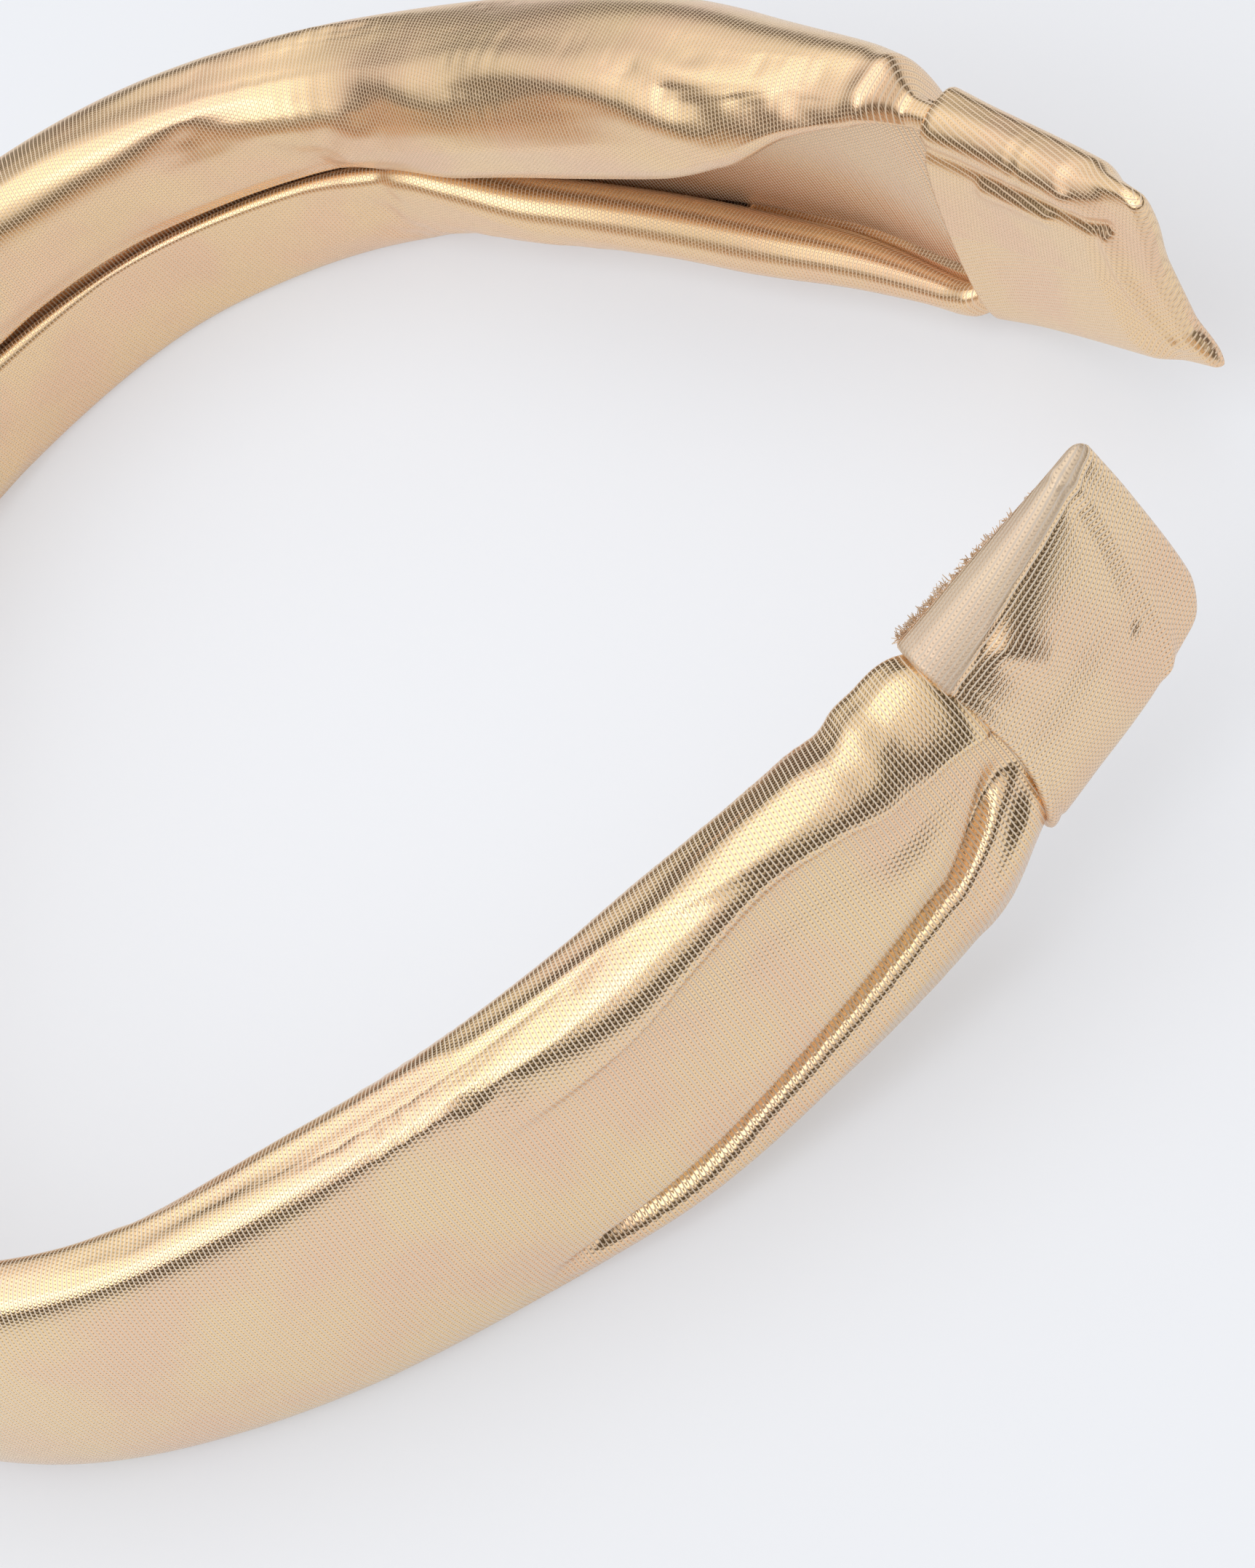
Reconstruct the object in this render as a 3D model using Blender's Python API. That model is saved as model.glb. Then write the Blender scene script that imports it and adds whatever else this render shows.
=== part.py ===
"""Knot headband: a hard inner band in two padded cloth sleeves, knotted at the crown.

The headband lies on its lower edge. +X runs from the crown to the tips, +Z is up, and the
origin is on the floor under the middle of the outline. The right arm is on the -Y side.
Everything is in metres.
"""
import math

import bmesh
import bpy
import numpy as np

NAME = "knot_headband"

# Plan of the hoop, measured on the middle line of the arms
HOOP_LENGTH = 0.150
HOOP_WIDTH = 0.1206
TIP_GAP = 0.025
TIP_TOE_IN = math.radians(42)
WIDEST_SHARE = 0.38
CROWN_PULL = 0.585
WIDEST_PULL_BACK = 0.22
WIDEST_PULL_ON = 0.19
TIP_PULL = 0.29

# Padded sleeves
SLEEVE_HEIGHT = 0.030
SLEEVE_THICKNESS = 0.012
LIP_THICKNESS = 0.0015
SLEEVE_START = 0.003
SLEEVE_IN_WRAP = 0.006
FLOOR_FLAT = 0.0006

# Hard inner band with its cloth
BAND_HEIGHT = 0.018
BAND_THICKNESS = 0.002
BAND_CORNER = 0.0006

# Sewn tip wraps
WRAP_WALL = 0.001
WRAP_MOUTH_THICKNESS = 0.0082
WRAP_END_THICKNESS = 0.002
SEAM_ALLOWANCE = 0.004
RIGHT_WRAP_LENGTH = 0.019
RIGHT_MOUTH_HEIGHT = 0.0240
RIGHT_END_HEIGHT = 0.0210
LEFT_WRAP_LENGTH = 0.029
LEFT_MOUTH_HEIGHT = 0.0280
LEFT_END_HEIGHT = 0.0250
RISE_START = 0.60
RISE_POWER = 2
RIGHT_TIP_LIFT = 0.0110
LEFT_TIP_LIFT = 0.0048
WRAP_RISE_START = 0.78
RIGHT_WRAP_RISE = (0.0048, 0.0032)
LEFT_WRAP_RISE = (0.0, 0.0)

# Knot round the crown
KNOT_HEIGHT = 0.039
KNOT_WIDTH = 0.034
KNOT_INNER_WIDTH = 0.024
KNOT_OUTER_PAD = 0.0065
KNOT_INNER_PAD = 0.0022
KNOT_SLANT = 0.004
KNOT_PLEATS = 4
KNOT_PLEAT_DEPTH = 0.0011
KNOT_REACH = KNOT_WIDTH / 2 + KNOT_SLANT
KNOT_FADE = 0.022
GATHER_HEIGHT = 0.0252
GATHER_THICKNESS = 0.0106

# Gap kept between touching pieces
GAP = 0.0003

# Roundness of the sections: 1 is an ellipse, less is squarer
PAD_POWER = 0.8
PAD_BACK_POWER = 0.4
WRAP_POWER = 0.55

# Mesh density
STATION_STEP = 0.0050
SLEEVE_OUTER_POINTS = 9
SLEEVE_LIP_POINTS = 4
BAND_POINTS = 12
WRAP_POINTS = 20
WRAP_STATIONS = 7
KNOT_POINTS = 32
KNOT_STATIONS = 9

# Section rows of a sleeve, from the crown to the tip. share: of the arm's length.
# height: of SLEEVE_HEIGHT. thickness: of SLEEVE_THICKNESS. upper_lip and lower_lip: of the
# height, over the inner face. shift: sideways move of the arm, and band: place of the inner
# band, both outward and as shares of SLEEVE_THICKNESS.
COLUMNS = ("share", "height", "thickness", "upper_lip", "lower_lip", "shift", "band")
RIGHT_ROWS = (
    (0.18, 1.00, 0.97, 0.46, 0.43, 0.00, -0.24),
    (0.40, 0.94, 0.79, 0.48, 0.42, 0.00, -0.16),
    (0.50, 0.90, 0.71, 0.48, 0.40, -0.05, -0.115),
    (0.60, 0.935, 0.82, 0.48, 0.34, -0.10, -0.14),
    (0.75, 0.955, 0.84, 0.34, 0.27, -0.01, -0.13),
    (0.84, 0.91, 0.73, 0.27, 0.24, 0.03, -0.09),
)
LEFT_ROWS = (
    (0.18, 1.00, 1.05, 0.48, 0.42, 0.03, -0.27),
    (0.30, 0.88, 1.00, 0.48, 0.42, 0.12, -0.25),
    (0.40, 0.84, 1.00, 0.50, 0.40, 0.20, -0.25),
    (0.50, 0.83, 0.92, 0.50, 0.38, 0.17, -0.19),
    (0.60, 0.885, 1.17, 0.50, 0.32, 0.06, -0.10),
    (0.72, 0.965, 1.25, 0.34, 0.25, 0.06, -0.075),
    (0.80, 0.93, 0.98, 0.25, 0.22, 0.09, -0.06),
)

GOLD = {
    "champagne": (0.72, 0.52, 0.33, 1.0),
    "pale": (0.80, 0.63, 0.42, 1.0),
    "deep": (0.60, 0.43, 0.26, 1.0),
}
FOIL_ROUGHNESS = 0.32
FOIL_METALLIC = 0.85


def clear_scene():
    """Remove every object that the file starts with."""
    for item in list(bpy.data.objects):
        bpy.data.objects.remove(item, do_unlink=True)


def foil(name, colour):
    """A metallic foil knit material."""
    material = bpy.data.materials.new(name)
    material.use_nodes = True
    shader = material.node_tree.nodes["Principled BSDF"]
    shader.inputs["Base Color"].default_value = colour
    shader.inputs["Roughness"].default_value = FOIL_ROUGHNESS
    shader.inputs["Metallic"].default_value = FOIL_METALLIC
    return material


def bezier(points, steps):
    """Points of one cubic Bezier segment."""
    t = np.linspace(0.0, 1.0, steps)[:, None]
    start, pull_a, pull_b, end = (np.array(point) for point in points)
    near = (1 - t) ** 3 * start + 3 * (1 - t) ** 2 * t * pull_a
    far = 3 * (1 - t) * t**2 * pull_b + t**3 * end
    return near + far


class PlanCurve:
    """Middle line of one arm in plan, with the crown at x = 0, read by share of its length."""

    STEPS = 200
    HEADING_STEP = 0.0005

    def __init__(self):
        half_width = HOOP_WIDTH / 2
        widest = (WIDEST_SHARE * HOOP_LENGTH, half_width)
        tip = (HOOP_LENGTH, TIP_GAP / 2)
        tip_pull = (
            tip[0] - TIP_PULL * HOOP_LENGTH * math.cos(TIP_TOE_IN),
            tip[1] + TIP_PULL * HOOP_LENGTH * math.sin(TIP_TOE_IN),
        )
        crown_pull = (0, CROWN_PULL * half_width)
        pull_back = (widest[0] - WIDEST_PULL_BACK * HOOP_LENGTH, half_width)
        pull_on = (widest[0] + WIDEST_PULL_ON * HOOP_LENGTH, half_width)
        crown_turn = bezier(((0, 0), crown_pull, pull_back, widest), self.STEPS)
        tip_run = bezier((widest, pull_on, tip_pull, tip), self.STEPS)
        self.points = np.vstack([crown_turn, tip_run[1:]])
        steps = np.linalg.norm(np.diff(self.points, axis=0), axis=1)
        self.lengths = np.concatenate([[0.0], np.cumsum(steps)])
        self.length = self.lengths[-1]

    def spot(self, reach):
        """Plan point of the left arm at a distance from the crown."""
        return np.array([np.interp(reach, self.lengths, self.points[:, axis]) for axis in (0, 1)])

    def at(self, reach, side):
        """Plan point and outward normal at a distance, on the left (1) or right (-1) arm."""
        ahead = min(reach + self.HEADING_STEP, self.length)
        behind = max(reach - self.HEADING_STEP, 0.0)
        heading = self.spot(ahead) - self.spot(behind)
        if reach < self.HEADING_STEP:
            heading[0] = 0.0
        heading /= np.linalg.norm(heading)
        flip = np.array([1.0, side])
        return self.spot(reach) * flip, np.array([-heading[1], heading[0]]) * flip


PLAN = PlanCurve()


def smooth_value(shares, values, share):
    """Smooth reading of a table column: cubic pieces through the rows."""
    slopes = np.gradient(values, shares)
    share = min(max(share, shares[0]), shares[-1])
    row = min(int(np.searchsorted(shares, share, side="right")) - 1, len(shares) - 2)
    span = shares[row + 1] - shares[row]
    t = (share - shares[row]) / span
    return (
        (2 * t**3 - 3 * t**2 + 1) * values[row]
        + (t**3 - 2 * t**2 + t) * span * slopes[row]
        + (3 * t**2 - 2 * t**3) * values[row + 1]
        + (t**3 - t**2) * span * slopes[row + 1]
    )


class Arm:
    """One arm: the sizes of its sleeve, band and tip wrap at any distance from the crown."""

    def __init__(self, name, side, rows, wrap_length, wrap_heights, tip_lift, wrap_rise):
        self.name = name
        self.side = side
        self.wrap_length = wrap_length
        self.mouth_height, self.end_height = wrap_heights
        self.tip_lift = tip_lift
        self.wrap_rise = wrap_rise
        self.mouth = PLAN.length - wrap_length
        rows = [dict(zip(COLUMNS, row)) for row in rows]
        behind_lips = LIP_THICKNESS + GAP + BAND_THICKNESS / 2
        gather = {
            "share": KNOT_REACH / PLAN.length,
            "height": GATHER_HEIGHT / SLEEVE_HEIGHT,
            "thickness": GATHER_THICKNESS / SLEEVE_THICKNESS,
            "upper_lip": rows[0]["upper_lip"],
            "lower_lip": rows[0]["lower_lip"],
            "shift": 0.0,
            "band": (behind_lips - GATHER_THICKNESS / 2) / SLEEVE_THICKNESS,
        }
        inside = 2 * (WRAP_WALL + GAP)
        entry = {
            "share": self.mouth / PLAN.length,
            "height": (self.mouth_height - inside) / SLEEVE_HEIGHT,
            "thickness": (WRAP_MOUTH_THICKNESS - inside) / SLEEVE_THICKNESS,
            "upper_lip": rows[-1]["upper_lip"],
            "lower_lip": rows[-1]["lower_lip"],
            "shift": rows[-1]["shift"],
            "band": (behind_lips + inside / 2 - WRAP_MOUTH_THICKNESS / 2) / SLEEVE_THICKNESS,
        }
        self.rows = [gather, *rows, entry]
        self.shares = [row["share"] for row in self.rows]

    def rise_share(self, distance):
        """How far the arm has risen toward its tip, as a share of the tip lift."""
        start = RISE_START * PLAN.length
        return (max(distance - start, 0.0) / (PLAN.length - start)) ** RISE_POWER

    def wrap_lift(self, distance):
        """Extra lift of the middle line, which grows up to the wrap's mouth and then changes evenly."""
        start = WRAP_RISE_START * PLAN.length
        share = min(max((distance - start) / (self.mouth - start), 0.0), 1.0)
        beyond = max(distance - self.mouth, 0.0) / self.wrap_length
        at_mouth, at_tip = self.wrap_rise
        return at_mouth * share**2 * (3 - 2 * share) + (at_tip - at_mouth) * beyond

    def column(self, name, distance):
        """A column of the sleeve table at a distance from the crown."""
        values = [row[name] for row in self.rows]
        return float(smooth_value(self.shares, values, distance / PLAN.length))

    def wrap_height(self, distance):
        """Outer height of the tip wrap, which narrows evenly to the sewn end."""
        share = (distance - self.mouth) / self.wrap_length
        return self.mouth_height + (self.end_height - self.mouth_height) * share

    def wrap_thickness(self, distance):
        """Outer thickness of the tip wrap: full over the sleeve's end, then over the band, then flat."""
        band_end = PLAN.length - SEAM_ALLOWANCE - WRAP_WALL
        over_band = BAND_THICKNESS + 2 * (2 * GAP + WRAP_WALL)
        places = (self.mouth, self.mouth + SLEEVE_IN_WRAP + GAP, band_end, PLAN.length)
        values = (WRAP_MOUTH_THICKNESS, WRAP_MOUTH_THICKNESS, over_band, WRAP_END_THICKNESS)
        return float(np.interp(distance, places, values))

    def sleeve_height(self, distance):
        """Outer height of the sleeve; inside the wrap it follows the wrap's inner face."""
        if distance > self.mouth:
            return self.wrap_height(distance) - 2 * (WRAP_WALL + GAP)
        return self.column("height", distance) * SLEEVE_HEIGHT

    def sleeve_thickness(self, distance):
        """Outer thickness of the sleeve."""
        return self.column("thickness", distance) * SLEEVE_THICKNESS

    def middle_height(self, distance):
        """Height of the middle line: half the section, lifted at the knot and at the tip."""
        knot_lift = (KNOT_HEIGHT - GATHER_HEIGHT) / 2
        fade = min(max(distance - KNOT_REACH, 0.0) / KNOT_FADE, 1.0)
        lift = knot_lift * (1 + math.cos(math.pi * fade)) / 2
        lift += self.tip_lift * self.rise_share(distance)
        lift += self.wrap_lift(distance)
        return lift + self.sleeve_height(distance) / 2

    def band_offset(self, distance):
        """Outward place of the band's middle face, behind the lips."""
        return self.column("band", distance) * SLEEVE_THICKNESS

    def place(self, distance, outward, height):
        """World point from a section point: outward from the middle line and up from it."""
        point, normal = PLAN.at(distance, self.side)
        spot = point + normal * (outward + self.column("shift", distance) * SLEEVE_THICKNESS)
        return (spot[0], spot[1], self.middle_height(distance) + height)


ARMS = (
    Arm(
        "right",
        -1.0,
        RIGHT_ROWS,
        RIGHT_WRAP_LENGTH,
        (RIGHT_MOUTH_HEIGHT, RIGHT_END_HEIGHT),
        RIGHT_TIP_LIFT,
        RIGHT_WRAP_RISE,
    ),
    Arm(
        "left",
        1.0,
        LEFT_ROWS,
        LEFT_WRAP_LENGTH,
        (LEFT_MOUTH_HEIGHT, LEFT_END_HEIGHT),
        LEFT_TIP_LIFT,
        LEFT_WRAP_RISE,
    ),
)


def soft_round(angle, half_height, half_thickness, back=PAD_BACK_POWER, front=PAD_POWER):
    """Point on a soft rounded section: angle 0 is outward, 90 degrees is up, and the back is flatter."""
    power = front if math.cos(angle) > 0 else back
    out = math.copysign(abs(math.cos(angle)) ** power, math.cos(angle)) * half_thickness
    up = math.copysign(abs(math.sin(angle)) ** front, math.sin(angle)) * half_height
    return out, up


def lip_angle(share):
    """Angle on the section at which a lip of that share of the height ends."""
    rise = max(1.0 - 2.0 * share, 0.0)
    return math.pi - math.asin(rise ** (1 / PAD_POWER))


def sleeve_section(arm, distance):
    """Matching rows of points on the sleeve's outside and on the channel that holds the band."""
    height = arm.sleeve_height(distance)
    thickness = arm.sleeve_thickness(distance)
    lowest = -height / 2 + FLOOR_FLAT
    top = math.pi / 2
    upper_end = lip_angle(arm.column("upper_lip", distance))
    lower_end = -lip_angle(arm.column("lower_lip", distance))
    angles = [
        *np.linspace(upper_end, top, SLEEVE_LIP_POINTS),
        *np.linspace(top, -top, SLEEVE_OUTER_POINTS + 2)[1:-1],
        *np.linspace(-top, lower_end, SLEEVE_LIP_POINTS),
    ]
    outside = []
    for angle in angles:
        out, up = soft_round(angle, height / 2, thickness / 2)
        outside.append((out, max(up, lowest)))
    lip_back = arm.band_offset(distance) - BAND_THICKNESS / 2 - GAP
    channel_back = arm.band_offset(distance) + BAND_THICKNESS / 2 + GAP
    channel_half = min(BAND_HEIGHT, height - 4 * LIP_THICKNESS) / 2 + GAP
    channel = [(lip_back, up) for up in np.linspace(outside[0][1], channel_half, SLEEVE_LIP_POINTS)]
    channel += [(channel_back, up) for up in np.linspace(channel_half, -channel_half, SLEEVE_OUTER_POINTS)]
    channel += [(lip_back, up) for up in np.linspace(-channel_half, outside[-1][1], SLEEVE_LIP_POINTS)]
    return [[arm.place(distance, out, up - FLOOR_FLAT) for out, up in row] for row in (outside, channel)]


def stations(start, end):
    """Distances from start to end, on the even steps that all the pieces of an arm share."""
    reach = PLAN.length - SEAM_ALLOWANCE - WRAP_WALL
    shared = np.linspace(0.0, reach, int(round(reach / STATION_STEP)) + 1)
    near = STATION_STEP / 4
    between = [place for place in shared if start + near < place < end - near]
    return np.array([start, *between, end])


def loft(name, rings, material, closed=False):
    """Solid through rings with the same number of points, capped unless it closes on itself."""
    mesh = bpy.data.meshes.new(name)
    shape = bmesh.new()
    verts = [[shape.verts.new(point) for point in ring] for ring in rings]
    pairs = list(zip(verts, verts[1:] + (verts[:1] if closed else [])))
    count = len(rings[0])
    for first, second in pairs[: len(rings) - (0 if closed else 1)]:
        for i in range(count):
            j = (i + 1) % count
            shape.faces.new((first[i], first[j], second[j], second[i]))
    if not closed:
        for ring in (verts[0], verts[-1]):
            for i in range(count // 2 - 1):
                shape.faces.new((ring[i], ring[i + 1], ring[count - 2 - i], ring[count - 1 - i]))
    bmesh.ops.recalc_face_normals(shape, faces=shape.faces)
    shape.to_mesh(mesh)
    shape.free()
    mesh.shade_smooth()
    mesh.set_sharp_from_angle(angle=math.radians(50))
    mesh.materials.append(material)
    item = bpy.data.objects.new(name, mesh)
    return item


def sleeve(arm, material):
    """Padded sleeve of one arm, from inside the knot to inside the tip wrap."""
    end = arm.mouth + SLEEVE_IN_WRAP
    sections = [sleeve_section(arm, distance) for distance in stations(SLEEVE_START, end)]
    rings = [outside + channel[::-1] for outside, channel in sections]
    return loft(f"{arm.name}_cover", rings, material)


def band_section(arm, distance):
    """Ring of the inner band: a thin rounded strip on edge."""
    end_height = arm.end_height - 2 * (WRAP_WALL + GAP) - SEAM_ALLOWANCE
    room = arm.sleeve_height(min(distance, arm.mouth)) - 4 * LIP_THICKNESS
    height = min(BAND_HEIGHT, room)
    if distance > arm.mouth:
        share = (distance - arm.mouth) / arm.wrap_length
        height += (min(end_height, height) - height) * share
    half_height = height / 2
    half_thickness = BAND_THICKNESS / 2
    offset = arm.band_offset(distance)
    ring = []
    for corner in range(4):
        out_sign = 1 if corner in (0, 3) else -1
        up_sign = 1 if corner < 2 else -1
        for step in range(BAND_POINTS // 4):
            angle = math.pi / 2 * (corner + step / (BAND_POINTS / 4 - 1))
            out = out_sign * (half_thickness - BAND_CORNER) + BAND_CORNER * math.cos(angle)
            up = up_sign * (half_height - BAND_CORNER) + BAND_CORNER * math.sin(angle)
            ring.append(arm.place(distance, offset + out, up - FLOOR_FLAT))
    return ring


def inner_band(material):
    """The whole hoop, from inside one tip wrap round the crown into the other."""
    right, left = ARMS
    reach = stations(0.0, PLAN.length - SEAM_ALLOWANCE - WRAP_WALL)
    rings = [band_section(left, distance) for distance in reach[::-1]]
    rings += [band_section(right, distance) for distance in reach[1:]]
    return loft("inner_band", rings, material)


def wrap_section(arm, distance, inside):
    """Ring of the tip wrap, on its outer face or its inner one."""
    height = arm.wrap_height(distance)
    thickness = arm.wrap_thickness(distance)
    if inside:
        height -= 2 * WRAP_WALL
        thickness -= 2 * WRAP_WALL
    ring = []
    for angle in np.linspace(0.0, 2 * math.pi, WRAP_POINTS, endpoint=False):
        out, up = soft_round(angle, height / 2, thickness / 2, WRAP_POWER, WRAP_POWER)
        ring.append(arm.place(distance, out, up - FLOOR_FLAT))
    return ring


def tip_wrap(arm, material):
    """Flat sock of cloth over the end of the arm: open at the mouth, sewn shut at the tip."""
    pocket_end = PLAN.length - SEAM_ALLOWANCE - WRAP_WALL + GAP
    pocket = np.linspace(pocket_end, arm.mouth, WRAP_STATIONS)
    inner = [wrap_section(arm, distance, True) for distance in pocket]
    outer = [wrap_section(arm, distance, False) for distance in pocket[::-1]]
    outer.append(wrap_section(arm, PLAN.length, False))
    return loft(f"{arm.name}_tip_wrap", inner + outer, material)


def knot_ring(along, inside):
    """Ring of the knot at a share of its half width, on its outer face or its inner one."""
    middle = ARMS[0].middle_height(0.0)
    half_height = GATHER_HEIGHT / 2 + 2 * GAP
    half_thickness = GATHER_THICKNESS / 2 + 2 * GAP
    ring = []
    for angle in np.linspace(0.0, 2 * math.pi, KNOT_POINTS, endpoint=False):
        facing = (1 + math.cos(angle)) / 2
        half_width = (KNOT_INNER_WIDTH + (KNOT_WIDTH - KNOT_INNER_WIDTH) * facing) / 2
        distance = along * half_width + KNOT_SLANT * math.sin(angle)
        out, up = soft_round(angle, half_height, half_thickness)
        if not inside:
            pad = KNOT_INNER_PAD + (KNOT_OUTER_PAD - KNOT_INNER_PAD) * facing
            pleat = KNOT_PLEAT_DEPTH * math.cos(math.pi * KNOT_PLEATS * along) * facing
            bulge = math.sqrt(max(1 - 0.55 * along**2, 0.0))
            rim_height = (KNOT_HEIGHT / 2 - half_height) * bulge
            out, up = soft_round(angle, half_height + rim_height, half_thickness + pad * bulge)
            out += pleat
            up = max(up, -KNOT_HEIGHT / 2 + FLOOR_FLAT)
        point, normal = PLAN.at(abs(distance), math.copysign(1.0, distance))
        spot = point + normal * out
        ring.append((spot[0], spot[1], middle + up - FLOOR_FLAT))
    return ring


def knot_wrap(material):
    """Padded turn of cloth round the crown: a short sleeve with soft rims and pleats."""
    shares = np.linspace(-1.0, 1.0, KNOT_STATIONS)
    outer = [knot_ring(share, False) for share in shares]
    inner = [knot_ring(share, True) for share in shares[::-1]]
    return loft("knot_wrap", outer + inner, material, closed=True)


def centre_on_origin(items):
    """Shift all meshes so that the middle of the outline stands over the origin."""
    corners = np.array([vert.co[:] for item in items for vert in item.data.vertices])
    middle = (corners.min(axis=0) + corners.max(axis=0)) / 2
    for item in items:
        for vert in item.data.vertices:
            vert.co.x -= middle[0]
            vert.co.y -= middle[1]
            vert.co.z -= corners[:, 2].min()


def build():
    """Make every sub-part and put it in the headband's collection."""
    clear_scene()
    sleeve_foil = foil("champagne_foil_knit", GOLD["champagne"])
    wrap_foil = foil("pale_foil_knit", GOLD["pale"])
    band_foil = foil("band_foil_knit", GOLD["deep"])
    items = [inner_band(band_foil)]
    for arm in ARMS:
        items.append(sleeve(arm, sleeve_foil))
        items.append(tip_wrap(arm, wrap_foil))
    items.append(knot_wrap(sleeve_foil))
    centre_on_origin(items)
    collection = bpy.data.collections.new(NAME)
    bpy.context.scene.collection.children.link(collection)
    for item in items:
        collection.objects.link(item)


build()
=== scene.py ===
"""Knot headband of gold foil knit, lying on its lower edge: the dressed model.

Two padded sleeves of foil knit fold round a thin inner band. Each end is closed in a flat sewn
wrap, and a pleated knot sits on the crown. Lengths are in metres, and the formulas for the plan
and the sections are those of the part's source. A place round a section is given in quarter
turns: 0 faces outward, 1 is up, 2 is the inner face reached over the top, -1 is down.
"""
import logging
import math
from dataclasses import dataclass
from enum import Enum

import bmesh
import bpy
import numpy as np
from mathutils import Matrix, Vector


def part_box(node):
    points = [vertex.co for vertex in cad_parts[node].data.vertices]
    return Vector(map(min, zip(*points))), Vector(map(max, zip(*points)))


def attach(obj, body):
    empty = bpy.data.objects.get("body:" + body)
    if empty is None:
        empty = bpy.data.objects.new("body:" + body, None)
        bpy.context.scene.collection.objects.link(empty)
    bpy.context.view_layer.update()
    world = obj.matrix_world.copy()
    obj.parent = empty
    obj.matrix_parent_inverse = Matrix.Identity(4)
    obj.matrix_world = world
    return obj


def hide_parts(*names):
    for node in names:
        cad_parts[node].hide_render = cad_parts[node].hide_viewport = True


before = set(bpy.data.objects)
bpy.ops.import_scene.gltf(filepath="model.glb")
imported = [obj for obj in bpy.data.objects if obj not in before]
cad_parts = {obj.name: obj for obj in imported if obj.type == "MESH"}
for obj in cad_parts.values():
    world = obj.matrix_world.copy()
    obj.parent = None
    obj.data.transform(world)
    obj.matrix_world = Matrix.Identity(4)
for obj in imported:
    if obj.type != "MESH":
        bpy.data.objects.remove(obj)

LOG = logging.getLogger("headband")
BODY = "root"

# Sizes shared with the part's source
HOOP_LENGTH = 0.150
HOOP_WIDTH = 0.1206
TIP_GAP = 0.025
TIP_TOE_IN = math.radians(42)
SLEEVE_HEIGHT = 0.030
SLEEVE_THICKNESS = 0.012
LIP_THICKNESS = 0.0015
SLEEVE_START = 0.003
FLOOR_FLAT = 0.0006
BAND_HEIGHT = 0.018
BAND_THICKNESS = 0.002
BAND_CORNER = 0.0006
WRAP_WALL = 0.001
WRAP_END_THICKNESS = 0.0020
SLEEVE_IN_WRAP = 0.006
SEAM_ALLOWANCE = 0.004
WRAP_FLAT_FROM = 0.0078
WRAP_FLAT_BY = 0.0042
WRAP_MOUTH_STEP = 0.0008
PLAN_PAST_BAND = 0.0015
RISE_START = 0.60
KNOT_HEIGHT = 0.039
KNOT_WIDTH = 0.034
KNOT_INNER_WIDTH = 0.024
KNOT_OUTER_PAD = 0.0065
KNOT_INNER_PAD = 0.0022
KNOT_SLANT = 0.004
KNOT_REACH = KNOT_WIDTH / 2 + KNOT_SLANT
KNOT_FADE = 0.022
GATHER_HEIGHT = 0.0252
GATHER_THICKNESS = 0.0106
GAP = 0.0003
PAD_POWER = 0.8
PAD_BACK_POWER = 0.4
WRAP_POWER = 0.55

# Sizes of the visual model alone
BAND_SHORT_OF_SEAM = 0.003
WRAP_END_ROUND = 0.0009
LEAST_ROLL = 0.0003
KNOT_SLACK = 0.0005
POCKET_PINCH = 0.02
MOUTH_PLACES = (-1.0, 0.0, 1.0)
END_PLACES = (-1.0, -0.9, -0.6, 0.0, 0.6, 0.9, 1.0)

Points = np.ndarray
Rings = list[tuple[Points, Points]]
Colour = tuple[float, float, float, float]
Piece = bpy.types.Object
Material = bpy.types.Material
Socket = bpy.types.NodeSocket


class Side(Enum):
    """The arm's side of the head, with its sign along Y."""

    RIGHT = -1.0
    LEFT = 1.0


class Courses(Enum):
    """Which way the pale thread lines of the knit run on a piece."""

    ACROSS = "across"
    ALONG = "along"


def smooth_step(value: Points | float, low: Points | float, high: Points | float) -> Points:
    """Ease from 0 at low to 1 at high.

    Args:
        value: Numbers to ease.
        low: Where the ease starts.
        high: Where it ends.

    Returns:
        Numbers from 0 to 1.
    """
    share = np.clip((value - low) / (high - low), 0.0, 1.0)
    return share * share * (3.0 - 2.0 * share)


def table_value(shares: list[float], values: list[float], share: float) -> float:
    """Read a table column smoothly, with cubic pieces that never swing past its rows.

    Args:
        shares: Where the rows stand.
        values: The column.
        share: Where to read it.

    Returns:
        The value there.
    """
    steps = np.diff(values) / np.diff(shares)
    before, after = steps[:-1], steps[1:]
    total = np.where(before * after > 0, before + after, 1.0)
    slopes = np.where(before * after > 0, 2.0 * before * after / total, 0.0)
    slopes = np.concatenate([steps[:1], slopes, steps[-1:]])
    share = min(max(share, shares[0]), shares[-1])
    row = min(int(np.searchsorted(shares, share, side="right")) - 1, len(shares) - 2)
    span = shares[row + 1] - shares[row]
    t = (share - shares[row]) / span
    rise = (2 * t**3 - 3 * t**2 + 1) * values[row] + (3 * t**2 - 2 * t**3) * values[row + 1]
    bend = (t**3 - 2 * t**2 + t) * slopes[row] + (t**3 - t**2) * slopes[row + 1]
    return float(rise + span * bend)


def row_value(rows: tuple[tuple[float, ...], ...], index: int, share: float) -> float:
    """A column of a table of rows that start with their share."""
    return table_value([row[0] for row in rows], [row[index] for row in rows], share)


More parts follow.
